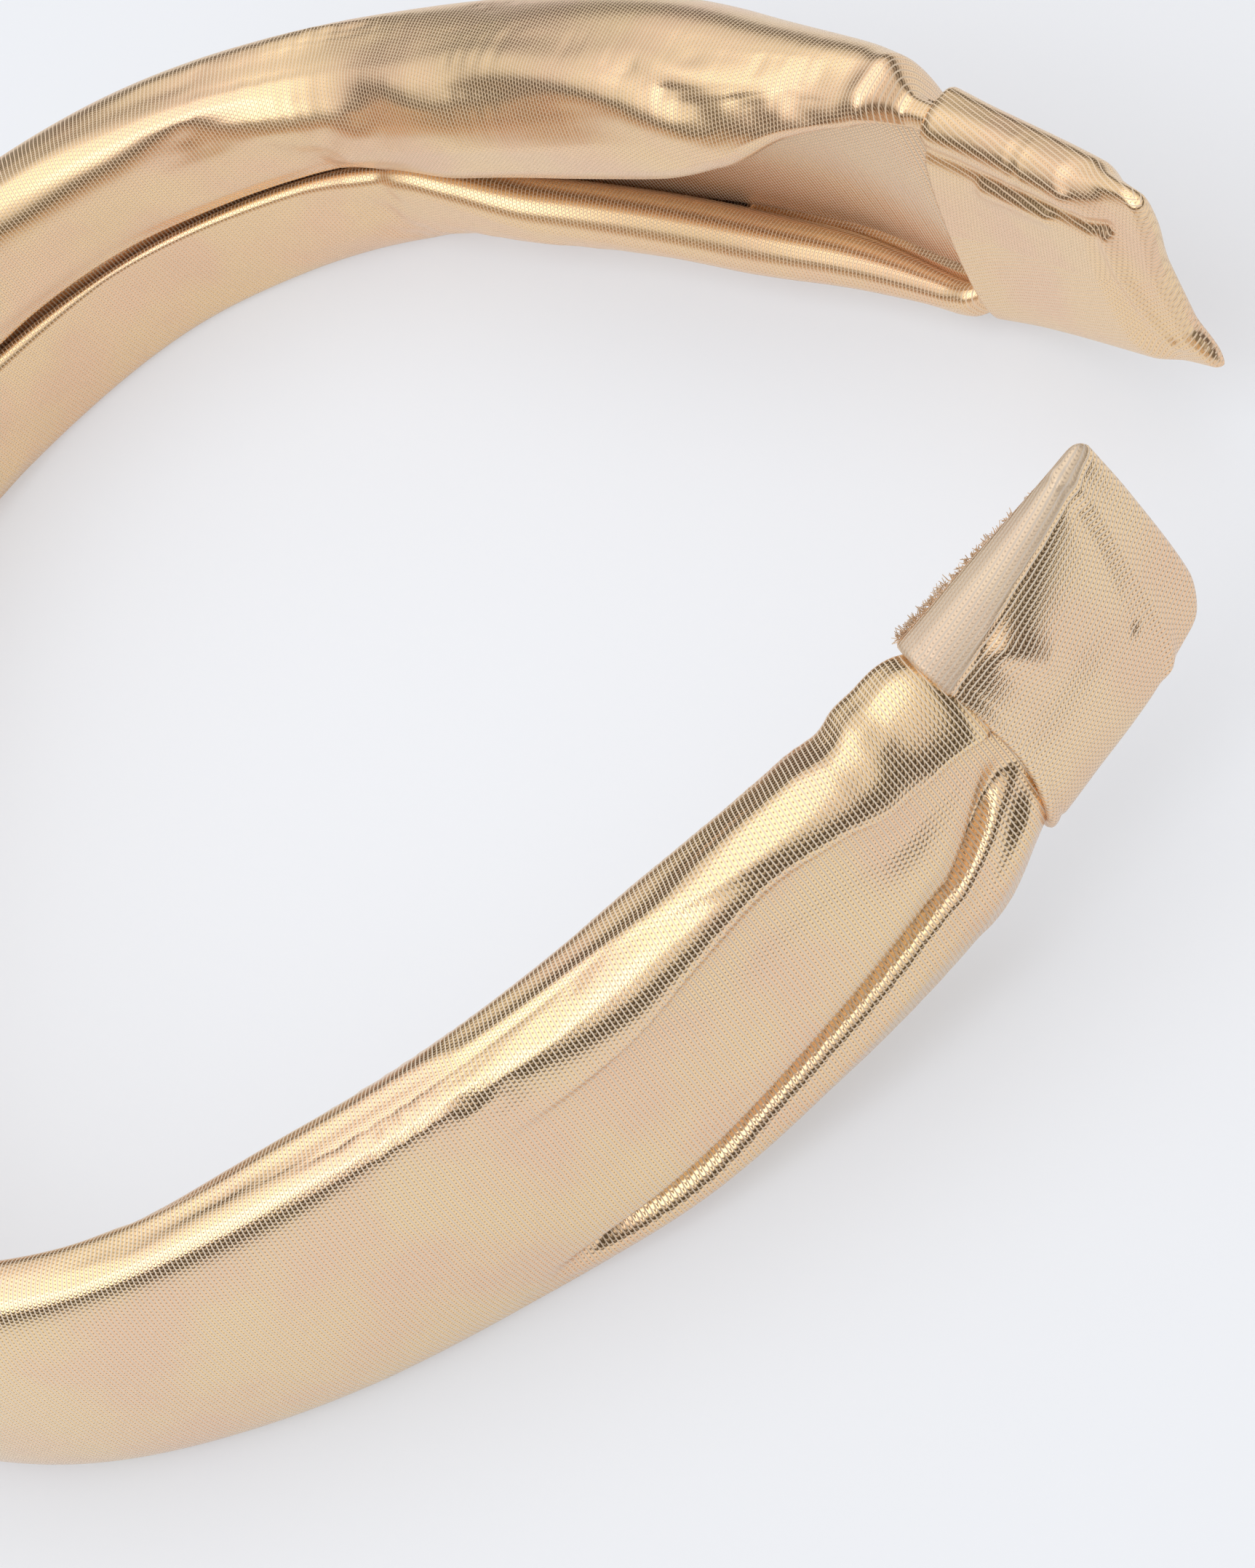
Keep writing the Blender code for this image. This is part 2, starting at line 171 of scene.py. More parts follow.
def soft_round(turn: Points, half_height: float, half_thickness: float, front: float, back: float) -> Points:
    """Points on a soft rounded section.

    Args:
        turn: Places round it, in quarter turns.
        half_height: Half of its height.
        half_thickness: Half of its thickness.
        front: Roundness of the outer half: 1 is an ellipse, less is squarer.
        back: Roundness of the inner half.

    Returns:
        An array of (outward, up) pairs.
    """
    angle = turn * math.pi / 2
    cosine, sine = np.cos(angle), np.sin(angle)
    power = np.where(cosine > 0, front, back)
    out = np.sign(cosine) * np.abs(cosine) ** power * half_thickness
    up = np.sign(sine) * np.abs(sine) ** front * half_height
    return np.stack([out, up], axis=-1)


def run_length(points: Points) -> Points:
    """Length run from the first point of a line to each of its points."""
    steps = np.linalg.norm(np.diff(points, axis=0), axis=-1)
    return np.concatenate([[0.0], np.cumsum(steps)])


def read_line(reach: Points | float, lengths: Points, line: Points) -> Points:
    """Points of a line at distances run along it."""
    return np.stack([np.interp(reach, lengths, values) for values in line.T], axis=-1)


def outward_normals(section: Points, closed: bool = False) -> Points:
    """Directions square to a section line that runs from the top down its outer side.

    Args:
        section: Its (outward, up) points.
        closed: Whether its last point is its first.

    Returns:
        A direction for each point.
    """
    tangent = np.gradient(section, axis=0)
    if closed:
        tangent[0] = tangent[-1] = tangent[0] + tangent[-1]
    tangent /= np.maximum(np.linalg.norm(tangent, axis=1, keepdims=True), 1e-12)
    return np.column_stack([-tangent[:, 1], tangent[:, 0]])


class PlanCurve:
    """Middle line of one arm in plan, from the crown to the tip."""

    STEPS = 400
    HEADING_STEP = 0.0005
    WIDEST_AT = 0.38
    CROWN_PULL = 0.585
    WIDEST_PULL = (0.22, 0.19)
    TIP_PULL = 0.29
    PAST_TIP = 0.01

    def __init__(self, crown: tuple[float, float]) -> None:
        """Lay out the two Bezier pieces, with a straight end past the tip.

        Args:
            crown: World x and y of the crown's middle line.
        """
        half = HOOP_WIDTH / 2
        widest = (self.WIDEST_AT * HOOP_LENGTH, half)
        before, after = (pull * HOOP_LENGTH for pull in self.WIDEST_PULL)
        tip = (HOOP_LENGTH, TIP_GAP / 2)
        pull = self.TIP_PULL * HOOP_LENGTH
        tip_pull = (tip[0] - pull * math.cos(TIP_TOE_IN), tip[1] + pull * math.sin(TIP_TOE_IN))
        crown_turn = self.bezier((0, 0), (0, self.CROWN_PULL * half), (widest[0] - before, half), widest)
        tip_run = self.bezier(widest, (widest[0] + after, half), tip_pull, tip)
        points = np.vstack([crown_turn, tip_run[1:]])
        self.length = float(run_length(points)[-1])
        last = points[-1] - points[-2]
        self.points = np.vstack([points, points[-1] + self.PAST_TIP * last / np.linalg.norm(last)])
        self.lengths = run_length(self.points)
        self.crown = np.array(crown)

    def bezier(self, *points: tuple[float, float]) -> Points:
        """Points of one cubic Bezier piece.

        Args:
            points: Its start, its two pulls and its end.

        Returns:
            Plan points.
        """
        t = np.linspace(0.0, 1.0, self.STEPS)[:, None]
        start, first, second, end = (np.array(point, float) for point in points)
        pulled = 3 * (1 - t) ** 2 * t * first + 3 * (1 - t) * t**2 * second
        return (1 - t) ** 3 * start + pulled + t**3 * end

    def spots(self, distances: Points) -> Points:
        """Plan points of the left arm at distances from the crown."""
        return read_line(distances, self.lengths, self.points)

    def place(self, distances: Points, side: Side, section: Points, middle: float) -> Points:
        """Stand a section on the plan.

        Args:
            distances: Distance from the crown, one for all the points or one for each.
            side: Which arm.
            section: (outward, up) pairs.
            middle: Height of the middle line.

        Returns:
            World points, none of them under the floor.
        """
        reach = np.broadcast_to(np.asarray(distances, float), (len(section),))
        heading = self.spots(reach + self.HEADING_STEP)
        heading -= self.spots(np.maximum(reach - self.HEADING_STEP, 0.0))
        heading[reach < self.HEADING_STEP, 0] = 0.0
        heading /= np.linalg.norm(heading, axis=1, keepdims=True)
        flip = np.array([1.0, side.value])
        normal = np.column_stack([-heading[:, 1], heading[:, 0]]) * flip
        plan = self.spots(reach) * flip + section[:, :1] * normal + self.crown
        return np.column_stack([plan, np.maximum(middle + section[:, 1], 0.0)])


@dataclass(frozen=True)
class Fold:
    """A fold or crease that runs along a sleeve.

    Args:
        path: (share of the arm's length, place round the section) pairs.
        height: How far it stands out; negative for a crease.
        above: Its width toward the outer face's upper side, in metres.
        below: Its width toward the lower side.
        fade_in: Share of the arm's length over which it grows from its start.
        fade_out: Share over which it dies away at its end.
    """

    path: tuple[tuple[float, float], ...]
    height: float
    above: float
    below: float
    fade_in: float
    fade_out: float

    def lift(self, share: float, turns: Points, arcs: Points) -> Points:
        """How far the cloth stands out round one section.

        Args:
            share: Share of the arm's length.
            turns: Places round the section, falling.
            arcs: Run length at those places.

        Returns:
            Outward move at each place.
        """
        start, end = self.path[0][0], self.path[-1][0]
        if not start <= share <= end:
            return np.zeros_like(turns)
        ease = smooth_step(share, start, start + self.fade_in)
        ease *= 1.0 - smooth_step(share, end - self.fade_out, end)
        offset = arcs - np.interp(-row_value(self.path, 1, share), -turns, arcs)
        width = np.where(offset < 0, self.above, self.below)
        return self.height * ease * np.exp(-((offset / width) ** 2))


@dataclass(frozen=True)
class WrapForm:
    """Sizes of a tip wrap.

    Args:
        length: Length of the wrap along the arm.
        mouth_thickness: Its outer thickness at the mouth.
        fold_thickness: Its outer thickness where the seam allowance starts.
        mouth_height: Its outer height at the mouth.
        end_height: Its outer height at the sewn end.
        shift: Its sideways move, outward, as a share of the sleeve's thickness.
        mouth_rise: Extra lift of the arm's middle line at the mouth.
        tip_rise: The same at the tip.
        rise_run: Length of arm before the mouth over which it grows.
        lean: How far the top leans inward, as a share of the height.
        lean_run: Length of arm before the mouth over which it grows.
        mouth_shift: Moves of the mouth along the arm, at the three places of MOUTH_PLACES.
        end_shift: The same of the sewn end, at the seven places of END_PLACES.
    """

    length: float
    mouth_thickness: float
    fold_thickness: float
    mouth_height: float
    end_height: float
    shift: float
    mouth_rise: float
    tip_rise: float
    rise_run: float
    lean: float
    lean_run: float
    mouth_shift: tuple[float, float, float]
    end_shift: tuple[float, ...]


@dataclass
class ArmShape:
    """One arm's sizes at any distance from the crown, as in the part's source."""

    side: Side
    wrap: WrapForm
    tip_lift: float
    rows: tuple[tuple[float, ...], ...]
    plan: PlanCurve

    def __post_init__(self) -> None:
        """Add the computed rows at the knot and at the wrap's mouth."""
        self.mouth = self.plan.length - self.wrap.length
        inside = 2 * (WRAP_WALL + GAP)
        behind_lips = LIP_THICKNESS + GAP + BAND_THICKNESS / 2
        gather = (
            KNOT_REACH / self.plan.length,
            GATHER_HEIGHT / SLEEVE_HEIGHT,
            GATHER_THICKNESS / SLEEVE_THICKNESS,
            0.0,
            (behind_lips - GATHER_THICKNESS / 2) / SLEEVE_THICKNESS,
        )
        entry = (
            self.mouth / self.plan.length,
            (self.wrap.mouth_height - inside) / SLEEVE_HEIGHT,
            (self.wrap.mouth_thickness - inside) / SLEEVE_THICKNESS,
            self.wrap.shift,
            max(behind_lips + inside / 2 - self.wrap.mouth_thickness / 2, 0.0) / SLEEVE_THICKNESS,
        )
        self.table = (gather, *self.rows, entry)

    def column(self, index: int, distance: float) -> float:
        """A column of the sleeve table at a distance from the crown."""
        return row_value(self.table, index, distance / self.plan.length)

    def wrap_height(self, distance: float) -> float:
        """Outer height of the tip wrap."""
        share = (distance - self.mouth) / self.wrap.length
        return self.wrap.mouth_height + (self.wrap.end_height - self.wrap.mouth_height) * share

    def wrap_thickness(self, distance: float) -> float:
        """Outer thickness of the tip wrap: over the sleeve's end, over the band, then flat.

        Args:
            distance: Distance from the crown.

        Returns:
            The thickness.
        """
        tip = self.plan.length
        thick = self.wrap.mouth_thickness
        over_band = BAND_THICKNESS + 2 * (2 * GAP + WRAP_WALL)
        rows = (
            (self.mouth, thick),
            (self.mouth + SLEEVE_IN_WRAP, max(thick - WRAP_MOUTH_STEP, over_band)),
            (tip - WRAP_FLAT_FROM, over_band),
            (tip - WRAP_FLAT_BY, self.wrap.fold_thickness),
            (tip, WRAP_END_THICKNESS),
        )
        return row_value(rows, 1, distance)

    def sleeve_height(self, distance: float) -> float:
        """Outer height of the sleeve; inside the wrap it follows the wrap."""
        if distance > self.mouth:
            return self.wrap_height(distance) - 2 * (WRAP_WALL + GAP)
        return self.column(1, distance) * SLEEVE_HEIGHT

    def sleeve_thickness(self, distance: float) -> float:
        """Outer thickness of the sleeve; inside the wrap it follows the wrap."""
        if distance > self.mouth:
            return self.wrap_thickness(distance) - 2 * (WRAP_WALL + GAP)
        return self.column(2, distance) * SLEEVE_THICKNESS

    def middle_height(self, distance: float) -> float:
        """Height of the middle line: half the section, lifted at the knot and at the tip.

        Args:
            distance: Distance from the crown.

        Returns:
            The height.
        """
        fade = min(max(distance - KNOT_REACH, 0.0) / KNOT_FADE, 1.0)
        start = RISE_START * self.plan.length
        rise = (max(distance - start, 0.0) / (self.plan.length - start)) ** 2
        lift = (KNOT_HEIGHT - GATHER_HEIGHT) / 4 * (1 + math.cos(math.pi * fade)) + self.tip_lift * rise
        near = float(smooth_step(distance, self.mouth - self.wrap.rise_run, self.mouth))
        beyond = max(distance - self.mouth, 0.0) / self.wrap.length
        lift += self.wrap.mouth_rise * near + (self.wrap.tip_rise - self.wrap.mouth_rise) * beyond
        return lift + self.sleeve_height(distance) / 2 - FLOOR_FLAT

    def band_offset(self, distance: float) -> float:
        """Outward place of the band's middle face."""
        return self.column(4, distance) * SLEEVE_THICKNESS

    def place(self, nominal: float, section: Points, distances: Points | None = None) -> Points:
        """World points of a section on this arm.

        Args:
            nominal: Distance from the crown that sets the arm's height and lean.
            section: (outward, up) pairs.
            distances: Distance of each point, where the section isn't square to the arm.

        Returns:
            World points.
        """
        lean = self.wrap.lean * float(smooth_step(nominal, self.mouth - self.wrap.lean_run, self.mouth))
        out = section[:, 0] - lean * section[:, 1] + self.column(3, nominal) * SLEEVE_THICKNESS
        leaned = np.column_stack([out, section[:, 1]])
        reach = nominal if distances is None else distances
        return self.plan.place(reach, self.side, leaned, self.middle_height(nominal))


def dress(piece: Piece, material: Material, slot: str, *nodes: str) -> Piece:
    """Give a piece its finish and its body, and hide what it stands for.

    Args:
        piece: The piece, with its place in its mesh.
        material: Its finish.
        slot: Not used.
        nodes: Names of the CAD nodes that it replaces.

    Returns:
        The piece.
    """
    piece.data.materials.clear()
    piece.data.materials.append(material)
    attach(piece, BODY)
    if nodes:
        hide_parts(*nodes)
    LOG.info("%s: %d faces", piece.name, len(piece.data.polygons))
    return piece


def link_piece(name: str, shape: bmesh.types.BMesh) -> Piece:
    """Turn a finished shape into an object of the scene.

    Args:
        name: Name of the piece.
        shape: Its shape, which is used up.

    Returns:
        The new object, at the origin.
    """
    mesh = bpy.data.meshes.new(name)
    shape.to_mesh(mesh)
    shape.free()
    piece = bpy.data.objects.new(name, mesh)
    bpy.context.scene.collection.objects.link(piece)
    return piece


def cloth_grid(
    name: str, made: Rings, fill_ends: bool = False, bare: Points | None = None
) -> Piece:
    """Shape a grid into a cloth surface.

    Args:
        name: Name of the piece.
        made: World points and places on the flat cloth of each ring, in metres. Points that
            meet are merged.
        fill_ends: Whether the open ends are filled flat.
        bare: How far the cloth's dull side shows at each point, from 0 to 1.

    Returns:
        The new object, at the origin.
    """
    points = np.array([ring for ring, _ in made])
    spread = np.array([flat for _, flat in made])
    rows, columns = points.shape[:2]
    shape = bmesh.new()
    cloth = shape.loops.layers.uv.new("cloth")
    dull = shape.verts.layers.float.new("bare")
    bmesh.ops.create_grid(shape, x_segments=rows - 1, y_segments=columns - 1, size=1.0)
    spots = {}
    for vert in shape.verts:
        row = round((vert.co.x + 1) / 2 * (rows - 1))
        column = round((vert.co.y + 1) / 2 * (columns - 1))
        spots[vert] = (row, column)
    for face in shape.faces:
        face.smooth = True
        for loop in face.loops:
            loop[cloth].uv = spread[spots[loop.vert]]
    for vert, spot in spots.items():
        vert.co = points[spot]
        vert[dull] = 0.0 if bare is None else float(bare[spot])
    bmesh.ops.remove_doubles(shape, verts=shape.verts, dist=1e-6)
    if fill_ends:
        rims = [edge for edge in shape.edges if edge.is_boundary]
        bmesh.ops.triangle_fill(shape, edges=rims, use_beauty=True)
    bmesh.ops.recalc_face_normals(shape, faces=shape.faces)
    return link_piece(name, shape)


class NodeRig:
    """Short calls for laying out shader nodes."""

    def __init__(self, tree: bpy.types.NodeTree) -> None:
        """Keep the tree that nodes go into."""
        self.tree = tree

    def add(self, kind: str, **settings: object) -> bpy.types.Node:
        """Add a node.

        Args:
            kind: Its type.
            settings: Its options.

        Returns:
            The node.
        """
        node = self.tree.nodes.new(kind)
        for name, value in settings.items():
            setattr(node, name, value)
        return node

    def link(self, source: Socket, target: Socket) -> None:
        """Join two sockets."""
        self.tree.links.new(source, target)

    def feed(self, node: bpy.types.Node, slot: int | str, value: object) -> None:
        """Link a socket, or set a plain value, on an input.

        Args:
            node: The node.
            slot: The input.
            value: A socket or a value.
        """
        if isinstance(value, Socket):
            self.link(value, node.inputs[slot])
        else:
            node.inputs[slot].default_value = value

    def feeds(self, node: bpy.types.Node, slots: dict[int | str, object]) -> bpy.types.Node:
        """Link sockets, or set plain values, on several inputs.

        Args:
            node: The node.
            slots: What goes into each input.

        Returns:
            The node.
        """
        for slot, value in slots.items():
            self.feed(node, slot, value)
        return node

    def math(self, operation: str, *values: object) -> Socket:
        """A Math node's result."""
        node = self.add("ShaderNodeMath", operation=operation)
        return self.feeds(node, dict(enumerate(values))).outputs[0]

    def plus(self, *values: object) -> Socket:
        """A sum."""
        return self.math("ADD", *values)

    def minus(self, *values: object) -> Socket:
        """A difference."""
        return self.math("SUBTRACT", *values)

    def times(self, *values: object) -> Socket:
        """A product."""
        return self.math("MULTIPLY", *values)

    def ease(self, value: object, low: float, high: float) -> Socket:
        """A smooth step from 0 at low to 1 at high."""
        node = self.add("ShaderNodeMapRange", interpolation_type="SMOOTHSTEP")
        return self.feeds(node, {"Value": value, "From Min": low, "From Max": high}).outputs["Result"]

    def mix(self, share: object, first: object, second: object) -> Socket:
        """A colour mix."""
        node = self.add("ShaderNodeMix", data_type="RGBA")
        return self.feeds(node, {0: share, 6: first, 7: second}).outputs[2]

    def noise(self, vector: Socket, scale: float, detail: float = 2.0) -> Socket:
        """A noise value from 0 to 1."""
        node = self.add("ShaderNodeTexNoise")
        return self.feeds(node, {"Vector": vector, "Scale": scale, "Detail": detail}).outputs[0]


def foil_knit_group() -> bpy.types.NodeTree:
    """The knit: rows of foil loops with a pale thread line between them, and painted shade in the holes
    between the stitches.

    Returns:
        A node group that reads a place on the cloth, counted in stitches, and puts out colour,
        roughness, how metallic the spot is, and height.
    """
    group = bpy.data.node_groups.new("foil_knit", "ShaderNodeTree")
    sockets = group.interface
    sockets.new_socket("Stitch", in_out="INPUT", socket_type="NodeSocketVector")
    for name in ("Foil", "Warm Foil", "Thread", "Shaded Hole"):
        sockets.new_socket(name, in_out="INPUT", socket_type="NodeSocketColor")
    for name in ("Foil Roughness", "Thread Share", "Bare"):
        sockets.new_socket(name, in_out="INPUT", socket_type="NodeSocketFloat")
    sockets.new_socket("Color", in_out="OUTPUT", socket_type="NodeSocketColor")
    for name in ("Roughness", "Metallic", "Height"):
        sockets.new_socket(name, in_out="OUTPUT", socket_type="NodeSocketFloat")
    rig = NodeRig(group)
    given = rig.add("NodeGroupInput")
    result = rig.add("NodeGroupOutput")
    split = rig.add("ShaderNodeSeparateXYZ")
    rig.link(given.outputs["Stitch"], split.inputs[0])
    sway = rig.noise(given.outputs["Stitch"], 0.21)
    shake = rig.noise(given.outputs["Stitch"], 1.3)
    course = rig.plus(split.outputs[0], rig.times(sway, 0.35))
    row = rig.math("FLOOR", course)
    within = rig.minus(course, row)
    edge = rig.times(rig.math("ABSOLUTE", rig.minus(within, 0.5)), 2.0)
    stagger = rig.times(rig.math("MODULO", row, 2.0), 0.5)
    wale = rig.plus(split.outputs[1], rig.plus(stagger, rig.times(edge, 0.45)))
    wale = rig.plus(wale, rig.times(shake, 0.12))
    loop = rig.math("FRACT", wale)
    thread_width = rig.minus(1.0, given.outputs["Thread Share"])
    thread_low = rig.minus(edge, thread_width)
    thread = rig.ease(thread_low, -0.06, 0.10)
    notch = rig.math("ABSOLUTE", rig.minus(loop, 0.5))
    gap = rig.ease(notch, 0.39, 0.49)
    leg = rig.ease(edge, 0.42, 0.10)
    # The holes between the stitches; their colour below is painted shade.
    shaded_hole = rig.times(leg, rig.ease(notch, 0.27, 0.40))
    thread = rig.math("MAXIMUM", thread, rig.times(rig.minus(gap, shaded_hole), 0.6))
    patch = rig.noise(given.outputs["Stitch"], 0.035, 3.0)
    foil = rig.mix(rig.ease(patch, 0.38, 0.66), given.outputs["Foil"], given.outputs["Warm Foil"])
    # Painted shade: the holes between the stitches take a dark colour.
    colour = rig.mix(rig.times(shaded_hole, 0.75), foil, given.outputs["Shaded Hole"])
    colour = rig.mix(thread, colour, given.outputs["Thread"])
    dull = rig.times(given.outputs["Bare"], 0.6)
    colour = rig.mix(dull, colour, (0.60, 0.50, 0.41, 1.0))
    rig.link(colour, result.inputs["Color"])
    metal = rig.minus(1.0, rig.math("MAXIMUM", rig.times(thread, 0.9), dull))
    metal = rig.times(metal, rig.minus(1.0, rig.times(shaded_hole, 0.35)))
    rig.link(metal, result.inputs["Metallic"])
    rough = rig.plus(given.outputs["Foil Roughness"], rig.times(thread, 0.38))
    rough = rig.plus(rough, rig.times(shaded_hole, 0.25))
    rough = rig.plus(rough, rig.times(dull, 0.3))
    rig.link(rough, result.inputs["Roughness"])
    dome = rig.minus(1.0, rig.times(rig.times(edge, edge), 0.55))
    flank = rig.math("POWER", rig.times(notch, 2.0), 2.5)
    round_loop = rig.minus(1.0, rig.times(flank, 0.7))
    height = rig.times(dome, round_loop)
    height = rig.math("MAXIMUM", height, rig.times(thread, 0.62))
    height = rig.minus(height, rig.times(leg, 0.18))
    rig.link(height, result.inputs["Height"])
    return group


@dataclass(frozen=True)
class FoilFinish:
    """One finish of foil knit.

    Args:
        name: Name of the material.
        foil: Colour of the foil.
        warm: Colour that the foil drifts to.
        thread: Colour of the thread lines.
        shaded_hole: Painted shade: the dark colour painted into the holes between the stitches.
        roughness: Roughness of the foil.
        thread_share: Share of a stitch row that the thread line takes.
        relief: Height of the stitches, in metres.
        course: Distance between thread lines, in metres.
        wale: Distance between stitches along a row, in metres.
    """

    name: str
    foil: Colour
    warm: Colour
    thread: Colour
    shaded_hole: Colour
    roughness: float
    thread_share: float
    relief: float
    course: float = 0.00040
    wale: float = 0.00034

    def material(self, group: bpy.types.NodeTree, courses: Courses, lean: float) -> Material:
        """Build the material.

        Args:
            group: The foil knit node group.
            courses: Which way the thread lines run on the piece.
            lean: How far the knit is turned on the cloth, in degrees.

        Returns:
            The material.
        """
        material = bpy.data.materials.new(f"{self.name}_{courses.value}")
        material.use_nodes = True
        rig = NodeRig(material.node_tree)
        shader = material.node_tree.nodes["Principled BSDF"]
        place = rig.add("ShaderNodeUVMap", uv_map="cloth")
        turn = rig.add("ShaderNodeMapping", vector_type="TEXTURE")
        spin = math.radians(lean + (90.0 if courses is Courses.ALONG else 0.0))
        size = (self.course, self.wale, 1.0)
        rig.feeds(turn, {0: place.outputs[0], "Rotation": (0.0, 0.0, spin), "Scale": size})
        knit = rig.add("ShaderNodeGroup", node_tree=group)
        bare = rig.add("ShaderNodeAttribute", attribute_name="bare")
        stitches = {
            "Stitch": turn.outputs[0],
            "Foil": self.foil,
            "Warm Foil": self.warm,
            "Thread": self.thread,
            "Shaded Hole": self.shaded_hole,
            "Foil Roughness": self.roughness,
            "Thread Share": self.thread_share,
            "Bare": bare.outputs["Fac"],
        }
        rig.feeds(knit, stitches)
        bump = rig.add("ShaderNodeBump")
        rig.feeds(bump, {"Distance": self.relief, "Strength": 1.0, "Height": knit.outputs["Height"]})
        looks = {
            "Base Color": knit.outputs["Color"],
            "Roughness": knit.outputs["Roughness"],
            "Metallic": knit.outputs["Metallic"],
            "Normal": bump.outputs["Normal"],
            "Sheen Weight": 0.06,
            "Sheen Roughness": 0.5,
        }
        rig.feeds(shader, looks)
        return material


CHAMPAGNE = FoilFinish(
    name="champagne_foil_knit",
    foil=(0.96, 0.70, 0.40, 1.0),
    warm=(0.94, 0.63, 0.40, 1.0),
    thread=(0.82, 0.70, 0.57, 1.0),
    # painted shade in the holes between the stitches
    shaded_hole=(0.34, 0.21, 0.11, 1.0),
    roughness=0.15,
    thread_share=0.28,
    relief=0.000018,
    wale=0.00036,
)
SMOOTH_CHAMPAGNE = FoilFinish(
    name="smooth_champagne_foil_knit",
    foil=(0.94, 0.68, 0.40, 1.0),
    warm=(0.92, 0.62, 0.40, 1.0),
    thread=(0.84, 0.67, 0.50, 1.0),
    # painted shade in the holes between the stitches
    shaded_hole=(0.55, 0.37, 0.22, 1.0),
    roughness=0.25,
    thread_share=0.24,
    relief=0.000008,
)
PALE = FoilFinish(
    name="pale_foil_knit",
    foil=(0.96, 0.70, 0.42, 1.0),
    warm=(0.93, 0.63, 0.40, 1.0),
    thread=(0.80, 0.69, 0.57, 1.0),
    # painted shade in the holes between the stitches
    shaded_hole=(0.32, 0.20, 0.11, 1.0),
    roughness=0.16,
    thread_share=0.28,
    relief=0.000022,
    wale=0.00036,
)
BAND_GOLD = FoilFinish(
    name="band_foil_knit",
    foil=(0.90, 0.64, 0.40, 1.0),
    warm=(0.88, 0.59, 0.38, 1.0),
    thread=(0.78, 0.66, 0.53, 1.0),
    # painted shade in the holes between the stitches
    shaded_hole=(0.34, 0.21, 0.11, 1.0),
    roughness=0.26,
    thread_share=0.34,
    relief=0.000012,
)


